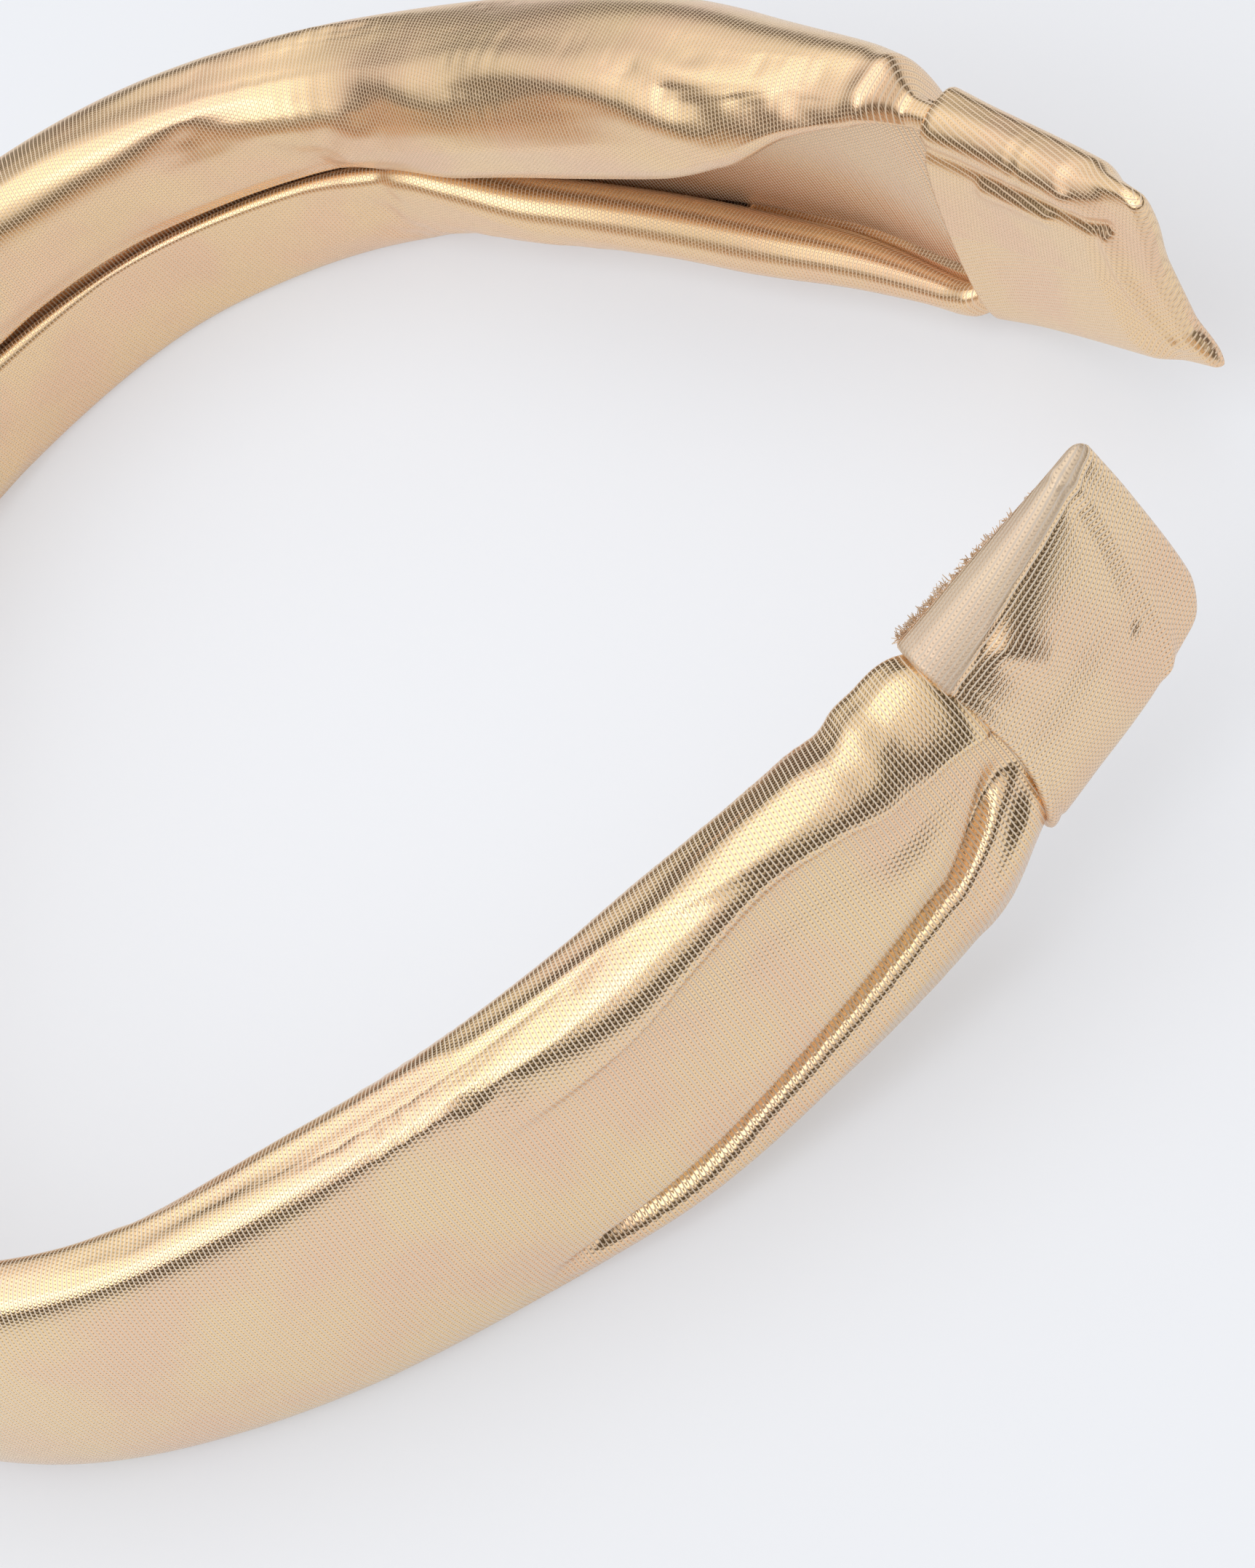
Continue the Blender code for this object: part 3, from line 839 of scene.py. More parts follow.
@dataclass
class PaddedSleeve:
    """Padded sleeve of one arm: cloth over padding, with two lips rolled round the band."""

    name: str
    arm: ArmShape
    folds: tuple[Fold, ...]
    lips: tuple[tuple[float, float, float], ...]
    rows: int = 300
    front_columns: int = 150
    back_columns: int = 34
    lip_columns: int = 5
    in_wrap: float = 0.005
    fine_points: int = 1200
    crowding: float = 0.25
    settle_rings: int = 90
    settle_skip: int = 4
    settle_inset: float = 0.0004
    settle_cap: float = 0.0009
    knot_fade: float = 0.02
    mouth_fade: float = 0.012
    normal_step: float = 0.001

    def lip_turn(self, share: float) -> float:
        """Place round the section at which a lip of that share of the height ends."""
        rise = 1.0 - 2.0 * share
        return 2.0 - math.copysign(math.asin(min(abs(rise) ** (1 / PAD_POWER), 1.0)), rise) * 2 / math.pi

    def outside(self, distance: float) -> tuple[Points, Points, Points]:
        """Outer face of one section, from the upper lip over the top to the lower lip.

        Args:
            distance: Distance from the crown.

        Returns:
            The (outward, up) points, their places in quarter turns, and their run length from
            the outermost line.
        """
        share = distance / self.arm.plan.length
        upper = self.lip_turn(row_value(self.lips, 1, share))
        lower = -self.lip_turn(row_value(self.lips, 2, share))
        half_height = self.arm.sleeve_height(distance) / 2
        half_thickness = self.arm.sleeve_thickness(distance) / 2
        turns = np.linspace(upper, lower, self.fine_points)
        fine = soft_round(turns, half_height, half_thickness, PAD_POWER, PAD_BACK_POWER)
        arcs = run_length(fine)
        top, bottom = np.interp([-1.0, 1.0], -turns, arcs)
        picks = np.concatenate(
            [
                np.linspace(0.0, top, self.back_columns)[:-1],
                np.linspace(top, bottom, self.front_columns),
                np.linspace(bottom, arcs[-1], self.back_columns)[1:],
            ]
        )
        places = np.interp(picks, arcs, turns)
        return read_line(picks, arcs, fine), places, picks - np.interp(0.0, -turns, arcs)

    def face(self, distance: float, extra: Points | float) -> tuple[Points, Points, Points]:
        """Outer face of one section with its folds.

        Args:
            distance: Distance from the crown.
            extra: More outward move at each point, in metres.

        Returns:
            The (outward, up) points, their normals, and their run length.
        """
        section, places, arcs = self.outside(distance)
        share = distance / self.arm.plan.length
        normal = outward_normals(section)
        move = sum(fold.lift(share, places, arcs) for fold in self.folds) + extra
        return section + normal * move[:, None], normal, arcs

    def ring(self, distance: float, settled: Points) -> tuple[Points, Points]:
        """One closed ring of the sleeve: its outer face, the lower lip, the channel, the upper lip.

        Args:
            distance: Distance from the crown.
            settled: Move of the padding at each outer column, in metres.

        Returns:
            World points and the ring's places on the flat cloth.
        """
        face, _, arcs = self.face(distance, settled)
        face[:, 1] = np.maximum(face[:, 1], FLOOR_FLAT - self.arm.sleeve_height(distance) / 2)
        offset = self.arm.band_offset(distance)
        lip_back = offset - BAND_THICKNESS / 2 - GAP
        back = offset + BAND_THICKNESS / 2 + GAP
        half = min(BAND_HEIGHT, self.arm.sleeve_height(distance) - 4 * LIP_THICKNESS) / 2 + GAP
        lower_roll = self.roll(face[-1], lip_back, 1.0)
        upper_roll = self.roll(face[0], lip_back, -1.0)[::-1]
        channel = np.array(
            [
                *[(lip_back, up) for up in np.linspace(lower_roll[-1][1], -half, 4)[1:]],
                *[(back, up) for up in np.linspace(-half, half, 6)],
                *[(lip_back, up) for up in np.linspace(half, upper_roll[0][1], 4)[:-1]],
            ]
        )
        behind = np.vstack([face[-1:], lower_roll, channel, upper_roll, face[:1]])
        ring = np.vstack([face, behind[1:]])
        reach = np.concatenate([arcs, arcs[-1] + run_length(behind)[1:]])
        spread = np.column_stack([np.full(len(ring), distance), reach])
        return self.arm.place(distance, ring), spread

    def roll(self, edge: Points, lip_back: float, way: float) -> Points:
        """Half round of a rolled lip, from its outer face to its back.

        Args:
            edge: The (outward, up) point where the outer face ends.
            lip_back: Outward place of the lip's back.
            way: 1 for a lip that ends upward, -1 for one that ends downward.

        Returns:
            The (outward, up) points.
        """
        radius = max((lip_back - edge[0]) / 2, LEAST_ROLL)
        angles = np.linspace(0.0, math.pi, self.lip_columns + 2)[1:]
        out = edge[0] + radius * (1 - np.cos(angles))
        up = edge[1] + way * radius * np.sin(angles)
        return np.column_stack([out, up])

    def stations(self) -> Points:
        """Distances of the rings, closer together toward the tip.

        Returns:
            Distances from the crown.
        """
        end = self.arm.mouth + self.in_wrap
        even = np.linspace(0.0, 1.0, self.rows)
        crowded = (1.0 + self.crowding) * even - self.crowding * even**2
        return SLEEVE_START + (end - SLEEVE_START) * crowded

    def settle(self, distances: Points) -> Points:
        """Let the padding swell under its cloth, with a cloth simulation on a coarse copy.

        Args:
            distances: Distances of the rings.

        Returns:
            Outward move for every ring and outer column.
        """
        columns = self.front_columns + 2 * self.back_columns - 2
        picks = distances[:: len(distances) // self.settle_rings]
        coarse_columns = np.arange(0, columns, self.settle_skip)
        rings, normals = [], []
        for distance in picks:
            face, normal, _ = self.face(distance, -self.settle_inset)
            world = self.arm.place(distance, face)[coarse_columns]
            tip = self.arm.place(distance, face + normal * self.normal_step)[coarse_columns]
            rings.append(np.vstack([world, world[:1]]))
            normals.append((tip - world) / self.normal_step)
        made = [(ring, np.zeros((len(ring), 2))) for ring in rings]
        pillow = cloth_grid(f"{self.name}_pillow", made, fill_ends=True)
        before = np.array([vert.co[:] for vert in pillow.data.vertices])
        after = swell(pillow, pressure=4.0, frames=20)
        bpy.data.objects.remove(pillow, do_unlink=True)
        order = nearest(before, np.vstack([ring[:-1] for ring in rings]))
        shift = (after - before)[order].reshape(len(picks), len(coarse_columns), 3)
        moves = (shift * np.array(normals)).sum(axis=2)
        moves -= moves.mean()
        moves = np.clip(moves, -self.settle_cap, self.settle_cap)
        ends = smooth_step(picks, KNOT_REACH, KNOT_REACH + self.knot_fade)
        ends *= 1.0 - smooth_step(picks, self.arm.mouth - self.mouth_fade, self.arm.mouth)
        wide = read_line(np.arange(columns), coarse_columns, (moves * ends[:, None]).T)
        return read_line(distances, picks, wide.T)

    def build(self, material: Material, node: str) -> Piece:
        """Make the sleeve and dress it.

        Args:
            material: Its finish.
            node: The CAD node that it stands for.

        Returns:
            The padded piece.
        """
        distances = self.stations()
        settled = self.settle(distances)
        made = [self.ring(distance, move) for distance, move in zip(distances, settled)]
        piece = cloth_grid(self.name, made, fill_ends=True)
        dress(piece, material, "sleeve_cloth", node)
        return piece


def nearest(cloud: Points, wanted: Points) -> Points:
    """Find the closest point of a cloud for each wanted point.

    Args:
        cloud: The points to choose from.
        wanted: The points to match.

    Returns:
        Their indices in the cloud.
    """
    found = np.empty(len(wanted), dtype=int)
    for start in range(0, len(wanted), 400):
        part = wanted[start : start + 400]
        away = ((part[:, None, :] - cloud[None, :, :]) ** 2).sum(axis=2)
        found[start : start + 400] = away.argmin(axis=1)
    return found


def swell(piece: Piece, pressure: float, frames: int) -> Points:
    """Blow a closed cloth form up gently, and read where its points end.

    Args:
        piece: A closed mesh.
        pressure: Air pressure inside.
        frames: Frames of simulation.

    Returns:
        The points after the last frame.
    """
    scene = bpy.context.scene
    cloth = piece.modifiers.new("cloth", "CLOTH")
    settings = cloth.settings
    settings.quality = 4
    settings.mass = 0.15
    settings.tension_stiffness = 12.0
    settings.compression_stiffness = 8.0
    settings.bending_stiffness = 0.3
    settings.use_pressure = True
    settings.uniform_pressure_force = pressure
    settings.effector_weights.gravity = 0.0
    cloth.collision_settings.use_collision = False
    for number in range(1, frames + 1):
        scene.frame_set(number)
    graph = bpy.context.evaluated_depsgraph_get()
    shown = piece.evaluated_get(graph)
    mesh = shown.to_mesh()
    points = np.array([vert.co[:] for vert in mesh.vertices])
    shown.to_mesh_clear()
    scene.frame_set(1)
    return points


@dataclass
class InnerBand:
    """Hard inner band with its smooth cloth, from one wrap round the crown to the other."""

    arms: tuple[ArmShape, ArmShape]
    rows: int = 150
    corner_columns: int = 5

    def ring(self, arm: ArmShape, distance: float) -> tuple[Points, Points]:
        """One ring of the band.

        Args:
            arm: The arm.
            distance: Distance from the crown.

        Returns:
            World points and places on the flat cloth.
        """
        end_height = arm.wrap.end_height - 2 * (WRAP_WALL + GAP) - SEAM_ALLOWANCE
        height = min(BAND_HEIGHT, arm.sleeve_height(min(distance, arm.mouth)) - 4 * LIP_THICKNESS)
        if distance > arm.mouth:
            share = (distance - arm.mouth) / arm.wrap.length
            height += (min(end_height, height) - height) * share
        offset = arm.band_offset(distance)
        ring = []
        for corner in range(4):
            out_sign = 1 if corner in (0, 3) else -1
            up_sign = 1 if corner < 2 else -1
            for step in range(self.corner_columns):
                angle = math.pi / 2 * (corner + step / (self.corner_columns - 1))
                out = out_sign * (BAND_THICKNESS / 2 - BAND_CORNER) + BAND_CORNER * math.cos(angle)
                up = up_sign * (height / 2 - BAND_CORNER) + BAND_CORNER * math.sin(angle)
                ring.append((offset + out, up))
        ring.append(ring[0])
        section = np.array(ring)
        spread = np.column_stack([np.full(len(section), distance * arm.side.value), run_length(section)])
        return arm.place(distance, section), spread

    def build(self, material: Material) -> Piece:
        """Make the band and dress it.

        Args:
            material: Its finish.

        Returns:
            The piece.
        """
        right, left = self.arms
        end = right.plan.length - SEAM_ALLOWANCE - WRAP_WALL - BAND_SHORT_OF_SEAM
        reach = np.linspace(0.0, end, self.rows)
        made = [self.ring(left, distance) for distance in reach[::-1]]
        made += [self.ring(right, distance) for distance in reach[1:]]
        piece = cloth_grid("inner_band_cloth", made, fill_ends=True)
        return dress(piece, material, "band_cloth", "inner_band")


@dataclass(frozen=True)
class WrapFold:
    """A ridge, groove or step on one face of a tip wrap.

    A step dies away over STEP_DECAY widths upward, and over STEP_END widths past its ends.

    Args:
        path: (share of the wrap's length, share of its half height) pairs: 1 is the top.
        height: How far it stands out; negative for a groove.
        width: Its half width, in metres.
        inner: Whether it is on the inner face.
        step: Whether the cloth on the upper side stays raised.
    """

    path: tuple[tuple[float, float], ...]
    height: float
    width: float
    inner: bool = False
    step: bool = False

    STEP_DECAY = 9.0
    STEP_END = 3.0

    def lift(self, places: Points, outward: Points, size: tuple[float, float]) -> Points:
        """Outward move at each place of one ring.

        Args:
            places: (share of the length, share of the half height) of each point.
            outward: How far each point faces outward, from -1 to 1.
            size: Length and half height of the wrap, in metres.

        Returns:
            The moves.
        """
        here = places * np.array(size)
        knots = np.array(self.path) * np.array(size)
        away = np.full(len(here), 1.0)
        over = np.zeros(len(here))
        for first, second in zip(knots, knots[1:]):
            line = second - first
            share = np.clip(((here - first) @ line) / max(line @ line, 1e-12), 0.0, 1.0)
            gap = here - first - share[:, None] * line
            reach = np.linalg.norm(gap, axis=1)
            cross = (line[0] * gap[:, 1] - line[1] * gap[:, 0]) / np.linalg.norm(line)
            over = np.where(reach < away, cross, over)
            away = np.minimum(away, reach)
        shape = np.exp(-((away / self.width) ** 2))
        if self.step:
            decay = np.exp(-((np.maximum(over, 0.0) / (self.width * self.STEP_DECAY)) ** 2))
            shape = smooth_step(over, -self.width / 2, self.width / 2) * decay
            past = np.maximum(away - np.abs(over), 0.0)
            shape = shape * np.exp(-((past / (self.width * self.STEP_END)) ** 2))
        facing = -outward if self.inner else outward
        return self.height * shape * smooth_step(facing, -0.35, 0.25)


@dataclass
class TipWrap:
    """Flat sock of cloth over the end of an arm, open at the mouth and sewn shut at the tip."""

    name: str
    arm: ArmShape
    folds: tuple[WrapFold, ...]
    flat: tuple[float, float]
    area: float
    raw_edge: tuple[tuple[float, float], ...] = ()
    front: float = WRAP_POWER
    front_until: float = 0.25
    square_from: float = 0.75
    raw_blend: float = 0.03
    fine_points: int = 2001
    rows: int = 150
    columns: int = 361

    def __post_init__(self) -> None:
        """Draw the lines of the mouth and of the sewn end, as moves along the arm."""
        wrap = self.arm.wrap
        self.heights = np.linspace(-1.0, 1.0, 81)
        self.mouth_line = [table_value(MOUTH_PLACES, wrap.mouth_shift, tall) for tall in self.heights]
        self.end_line = [table_value(END_PLACES, wrap.end_shift, tall) for tall in self.heights]

    def face(self, along: float, inset: float, relief: float = 1.0) -> tuple[Points, Points]:
        """One ring of the wrap at a depth under its outer face.

        Args:
            along: Share of the wrap's length.
            inset: Depth under the outer face.
            relief: How much of the folds is kept.

        Returns:
            The (outward, up) points and their run length.
        """
        distance = self.arm.mouth + along * self.arm.wrap.length
        half_height = self.arm.wrap_height(distance) / 2 - inset
        half_thickness = self.arm.wrap_thickness(distance) / 2 - inset
        turns = np.linspace(2.0, -2.0, self.fine_points)
        squared = float(smooth_step(along, self.front_until, self.square_from))
        front = self.front + (WRAP_POWER - self.front) * squared
        fine = soft_round(turns, half_height, half_thickness, front, WRAP_POWER)
        arcs = run_length(fine)
        corners = np.interp([-2.0, -1.0, 0.0, 1.0, 2.0], -turns, arcs)
        quarter = (self.columns - 1) // 4
        picks = [np.linspace(first, last, quarter + 1)[:-1] for first, last in zip(corners, corners[1:])]
        picks = np.concatenate([*picks, corners[-1:]])
        section = read_line(picks, arcs, fine)
        section[-1] = section[0]
        arcs = picks - arcs[-1] / 2
        if inset > 0.0:
            return section, arcs
        places = np.column_stack([np.full(self.columns, along), section[:, 1] / half_height])
        size = (self.arm.wrap.length, self.arm.wrap.mouth_height / 2)
        outward = section[:, 0] / half_thickness
        move = sum(fold.lift(places, outward, size) for fold in self.folds)
        move[0] = move[-1] = (move[0] + move[-1]) / 2
        return section + outward_normals(section, closed=True) * (move * relief)[:, None], arcs

    def dull_side(self, along: float) -> Points:
        """How far the dull side of the cloth shows at each point of an outer ring.

        Args:
            along: Share of the wrap's length.

        Returns:
            Numbers from 0 to 1.
        """
        if not self.raw_edge:
            return np.zeros(self.columns)
        section, _ = self.face(along, 0.0, 0.0)
        line = np.interp(along, [share for share, _ in self.raw_edge], [tall for _, tall in self.raw_edge])
        tall = section[:, 1] / section[:, 1].max()
        outward = section[:, 0] / section[:, 0].max()
        return smooth_step(tall, line, line + self.raw_blend) * smooth_step(outward, -0.5, -0.2)

    def top_line(self, along: float) -> Points:
        """World point of the wrap's upper edge at a share of its length."""
        return self.ring(along, 0.0, 0.0)[0][(self.columns - 1) // 5]

    def reach(self, along: float, section: Points) -> Points:
        """Distance of each point from the crown: the mouth and the sewn end run aslant.

        Args:
            along: Share of the wrap's length.
            section: (outward, up) pairs.

        Returns:
            The distances.
        """
        wrap = self.arm.wrap
        distance = self.arm.mouth + along * wrap.length
        tall = 2.0 * section[:, 1] / self.arm.wrap_height(distance)
        start = self.arm.mouth + np.interp(tall, self.heights, self.mouth_line)
        end = self.arm.plan.length + np.interp(tall, self.heights, self.end_line)
        return start + along * (end - start)

    def ring(self, along: float, inset: float, close: float) -> tuple[Points, Points]:
        """World ring and its place on the flat cloth.

        Args:
            along: Share of the wrap's length.
            inset: Depth under the outer face.
            close: How far the ring is pinched flat, from 0 to 1.

        Returns:
            World points and flat places.
        """
        section, arcs = self.face(along, inset, 1.0 - close)
        index = np.arange(self.columns)
        half = (self.columns - 1) // 2
        twin = np.where(index <= half, half - index, 3 * half - index)
        level = section[:, 1] + (section[twin, 1] - section[:, 1]) * close / 2
        section = np.column_stack([section[:, 0] * (1.0 - close), level * (1.0 - 0.02 * close)])
        nominal = self.arm.mouth + along * self.arm.wrap.length
        reach = self.reach(along, section)
        return self.arm.place(nominal, section, reach), np.column_stack([reach + inset, arcs])

    def rolled_mouth(self, depth: float, share: float) -> tuple[Points, Points]:
        """A ring of the rolled mouth.

        Args:
            depth: How far it stands out past the mouth, in metres.
            share: Where it is between the outer face, 0, and the inner one, 1.

        Returns:
            World points and flat places.
        """
        outer, arcs = self.face(0.0, 0.0)
        inner, _ = self.face(0.0, WRAP_WALL)
        section = outer + (inner - outer) * share
        reach = self.reach(0.0, section) - depth
        return self.arm.place(self.arm.mouth, section, reach), np.column_stack([reach, arcs])

    def build(
        self,
        material: Material,
        node: str,
        rests_on: str,
        extras: tuple[Piece, ...] = (),
    ) -> Piece:
        """Make the wrap and dress it.

        Args:
            material: Its finish.
            node: The CAD node that it stands for.
            rests_on: Not used.
            extras: Not used.

        Returns:
            The cloth piece.
        """
        rounded = WRAP_END_ROUND / self.arm.wrap.length
        angles = np.linspace(0.0, math.pi / 2, 5)
        outer = [(1.0 - rounded * (1.0 - math.cos(turn)), 0.0, 1.0 - math.sin(turn)) for turn in angles]
        outer += [(along, 0.0, 0.0) for along in np.linspace(1.0 - rounded, 0.0, self.rows)[1:]]
        pocket = 1.0 - (SEAM_ALLOWANCE + WRAP_WALL - GAP) / self.arm.wrap.length
        inner = [(along, WRAP_WALL, 0.0) for along in np.linspace(0.0, pocket, self.rows // 3)]
        inner.append((pocket + POCKET_PINCH, WRAP_WALL, 1.0))
        made = [self.ring(*place) for place in outer]
        for turn in np.linspace(0.0, math.pi, 7)[1:-1]:
            made.append(self.rolled_mouth(WRAP_WALL / 2 * math.sin(turn), 0.5 - 0.5 * math.cos(turn)))
        made += [self.ring(*place) for place in inner]
        dull = [self.dull_side(along) for along, _, _ in outer]
        dull += [dull[-1]] * (len(made) - len(outer) - len(inner))
        dull += [np.zeros(self.columns)] * len(inner)
        piece = cloth_grid(self.name, made, bare=np.array(dull))
        dress(piece, material, "wrap_cloth", node)
        return piece


@dataclass
class Fray:
    """Loose thread ends along the raw upper edge of a tip wrap."""

    name: str
    wrap: TipWrap
    count: int = 420
    seed: int = 5
    end: float = 0.97
    spread: float = 0.0003

    def build(self, material: Material) -> Piece:
        """Make the thread ends and dress them.

        Args:
            material: Their finish.

        Returns:
            The piece.
        """
        chance = np.random.default_rng(self.seed)
        stops = np.linspace(0.0, self.end, 50)
        line = np.array([self.wrap.top_line(share) for share in stops])
        heading = (line[-1] - line[0]) / np.linalg.norm(line[-1] - line[0])
        across = np.cross((0.0, 0.0, 1.0), heading)
        shape = bmesh.new()
        for _ in range(self.count):
            share = self.end * chance.beta(0.9, 1.8)
            root = read_line(share, stops, line) + across * chance.uniform(-self.spread, self.spread)
            way = np.array([0.0, 0.0, 1.0]) * chance.uniform(0.2, 1.0)
            way = way + heading * chance.uniform(-0.9, 0.6) + across * chance.uniform(-0.5, 0.8)
            way = way / np.linalg.norm(way)
            length = chance.uniform(0.0003, 0.0009) * (1.0 - 0.5 * share)
            middle = Vector(root + way * length * 0.4)
            turn = Vector(way).to_track_quat("Z", "Y").to_matrix().to_4x4()
            bmesh.ops.create_cone(
                shape,
                cap_ends=True,
                cap_tris=True,
                segments=5,
                radius1=0.00005,
                radius2=0.00003,
                depth=length,
                matrix=Matrix.Translation(middle) @ turn,
            )
        dull = shape.verts.layers.float.new("bare")
        for vert in shape.verts:
            vert[dull] = 1.0
        return dress(link_piece(self.name, shape), material, "wrap_cloth")


@dataclass
class Knot:
    """Padded turn of cloth round the crown, gathered in pleats."""

    plan: PlanCurve
    middle: float
    rows: int = 110
    columns: int = 160

    def ring(self, along: float, inside: bool) -> tuple[Points, Points]:
        """One ring of the knot and its place on the flat cloth.

        Args:
            along: Share of the knot's half width, from -1 to 1.
            inside: Whether it is on the inner face.

        Returns:
            World points and flat places.
        """
        half_height = GATHER_HEIGHT / 2 + 2 * GAP
        half_thickness = GATHER_THICKNESS / 2 + 2 * GAP
        turns = np.linspace(0.0, 4.0, self.columns)
        turns[-1] = 0.0
        angle = turns * math.pi / 2
        facing = (1 + np.cos(angle)) / 2
        half_width = (KNOT_INNER_WIDTH + (KNOT_WIDTH - KNOT_INNER_WIDTH) * facing) / 2
        distance = along * half_width + KNOT_SLANT * np.sin(angle)
        section = soft_round(turns, half_height, half_thickness, PAD_POWER, PAD_BACK_POWER)
        if not inside:
            bulge = math.sqrt(max(1 - 0.55 * along**2, 0.0))
            pad = KNOT_INNER_PAD + (KNOT_OUTER_PAD - KNOT_INNER_PAD) * facing
            rim = (KNOT_HEIGHT / 2 - half_height) * bulge
            sway = 0.12 * np.sin(angle + 0.6) + 0.05 * np.sin(3 * angle)
            wave = np.cos(math.pi * 4.0 * (along + sway))
            pleat = 0.0011 * (np.abs(wave) ** 0.6 * np.sign(wave)) * (0.45 + 0.55 * facing)
            pleat = pleat + 0.0003 * np.cos(math.pi * 11.0 * (along + 0.5 * sway)) * facing
            out = half_thickness + (pad * bulge + pleat)
            up = half_height + (rim + 0.5 * pleat) - KNOT_SLACK
            section = section / (half_thickness, half_height) * np.column_stack([out, up])
        section[:, 1] = np.maximum(section[:, 1], FLOOR_FLAT - KNOT_HEIGHT / 2)
        rows = []
        for reach, pair in zip(distance, section):
            side = Side.RIGHT if reach < 0 else Side.LEFT
            rows.append(self.plan.place(abs(float(reach)), side, pair[None, :], self.middle)[0])
        points = np.array(rows)
        points[-1] = points[0]
        spread = np.column_stack([distance, run_length(points)])
        return points, spread

    def build(self, material: Material) -> Piece:
        """Make the knot and dress it.

        Args:
            material: Its finish.

        Returns:
            The padded piece.
        """
        shares = np.linspace(-1.0, 1.0, self.rows)
        made = [self.ring(share, False) for share in shares]
        made += [self.ring(share, True) for share in shares[::-4]]
        made.append(made[0])
        piece = cloth_grid("knot_cloth", made)
        dress(piece, material, "sleeve_cloth", "knot_wrap")
        return piece


@dataclass(frozen=True)
class Studio:
    """Floor, light and camera.

    Args:
        crown: World x and y of the crown's middle line.
        floor_colour: Colour of the floor.
        floor_glow: Light that the floor gives off.
        floor_size: Half the floor's width.
        light_azimuth: Direction of the light from the object, in degrees from +X.
        light_elevation: Its height above the horizon, in degrees.
        light_spread: How wide it looks from the object, in degrees.
        light_strength: Its light on a facing surface, in watts per square metre.
        lens: Focal length of the camera, in millimetres.
    """

    crown: tuple[float, float]
    floor_colour: Colour = (0.47, 0.485, 0.515, 1.0)
    floor_glow: Colour = (0.375, 0.385, 0.405, 1.0)
    floor_size: float = 1.6
    light_azimuth: float = -125.0
    light_elevation: float = 42.0
    light_spread: float = 40.0
    light_strength: float = 0.40
    lens: float = 129.84

    def floor(self) -> None:
        """Lay the pale floor, lit a little from below as on a light table."""
        shape = bmesh.new()
        bmesh.ops.create_grid(shape, x_segments=1, y_segments=1, size=self.floor_size)
        floor = link_piece("studio_floor", shape)
        material = bpy.data.materials.new("floor_paper")
        material.use_nodes = True
        rig = NodeRig(material.node_tree)
        shader = material.node_tree.nodes["Principled BSDF"]
        place = rig.add("ShaderNodeTexCoord")
        grain = rig.noise(place.outputs["Object"], 900.0)
        shade = tuple(value * 0.995 for value in self.floor_colour[:3])
        looks = {
            "Base Color": rig.mix(grain, self.floor_colour, (*shade, 1.0)),
            "Emission Color": self.floor_glow,
            "Emission Strength": 1.0,
            "Roughness": 0.9,
            "Specular IOR Level": 0.1,
        }
        rig.feeds(shader, looks)
        floor.data.materials.append(material)

    def world(self) -> None:
        """Light the room: bright above, a dark band round the horizon."""
        world = bpy.data.worlds.new("studio_room")
        bpy.context.scene.world = world
        world.use_nodes = True
        rig = NodeRig(world.node_tree)
        back = world.node_tree.nodes["Background"]
        place = rig.add("ShaderNodeTexCoord")
        split = rig.add("ShaderNodeSeparateXYZ")
        rig.link(place.outputs["Generated"], split.inputs[0])
        ramp = rig.add("ShaderNodeValToRGB")
        rig.feed(ramp, 0, rig.math("MULTIPLY_ADD", split.outputs[2], 0.5, 0.5))
        stops = ramp.color_ramp.elements
        stops[0].position = 0.0
        stops[0].color = (0.70, 0.70, 0.72, 1.0)
        stops[1].position = 1.0
        stops[1].color = (1.4, 1.39, 1.37, 1.0)
        for position, colour in (
            (0.46, (0.50, 0.48, 0.47, 1.0)),
            (0.495, (0.07, 0.06, 0.05, 1.0)),
            (0.69, (0.09, 0.075, 0.06, 1.0)),
            (0.735, (0.75, 0.74, 0.72, 1.0)),
            (0.87, (0.80, 0.79, 0.78, 1.0)),
            (0.90, (1.40, 1.39, 1.37, 1.0)),
        ):
            stop = stops.new(position)
            stop.color = colour
        rig.link(ramp.outputs[0], back.inputs["Color"])
        back.inputs["Strength"].default_value = 1.04

    def light(self) -> None:
        """Hang the key light, one even and soft source."""
        data = bpy.data.lights.new("key_softbox", "SUN")
        data.angle = math.radians(self.light_spread)
        data.energy = self.light_strength
        light = bpy.data.objects.new("key_softbox", data)
        turn, rise = math.radians(self.light_azimuth), math.radians(self.light_elevation)
        away = Vector((math.cos(rise) * math.cos(turn), math.cos(rise) * math.sin(turn), math.sin(rise)))
        light.matrix_world = Matrix.Translation(away) @ away.to_track_quat("Z", "Y").to_matrix().to_4x4()
        bpy.context.scene.collection.objects.link(light)

    def camera(self) -> None:
        """Set the camera at the photograph's view."""
        data = bpy.data.cameras.new("view")
        data.lens = self.lens
        data.sensor_width = 36.0
        data.clip_start = 0.01
        data.dof.use_dof = False
        camera = bpy.data.objects.new("view", data)
        right = Vector((0.85912, 0.08504, -0.50466))
        up = Vector((0.20988, 0.84081, 0.49899))
        back = Vector((0.46675, -0.53461, 0.70451))
        turn = Matrix((right, up, back)).transposed().to_4x4()
        eye = (self.crown[0] + 0.308841, self.crown[1] - 0.255861, 0.327500)
        camera.matrix_world = Matrix.Translation(eye) @ turn
        bpy.context.scene.collection.objects.link(camera)
        bpy.context.scene.camera = camera

    def build(self) -> None:
        """Set up the whole stage."""
        self.floor()
        self.world()
        self.light()
        self.camera()
        bpy.context.scene.view_settings.view_transform = "Standard"


RIGHT_TIP_LIFT = 0.0110
LEFT_TIP_LIFT = 0.0048
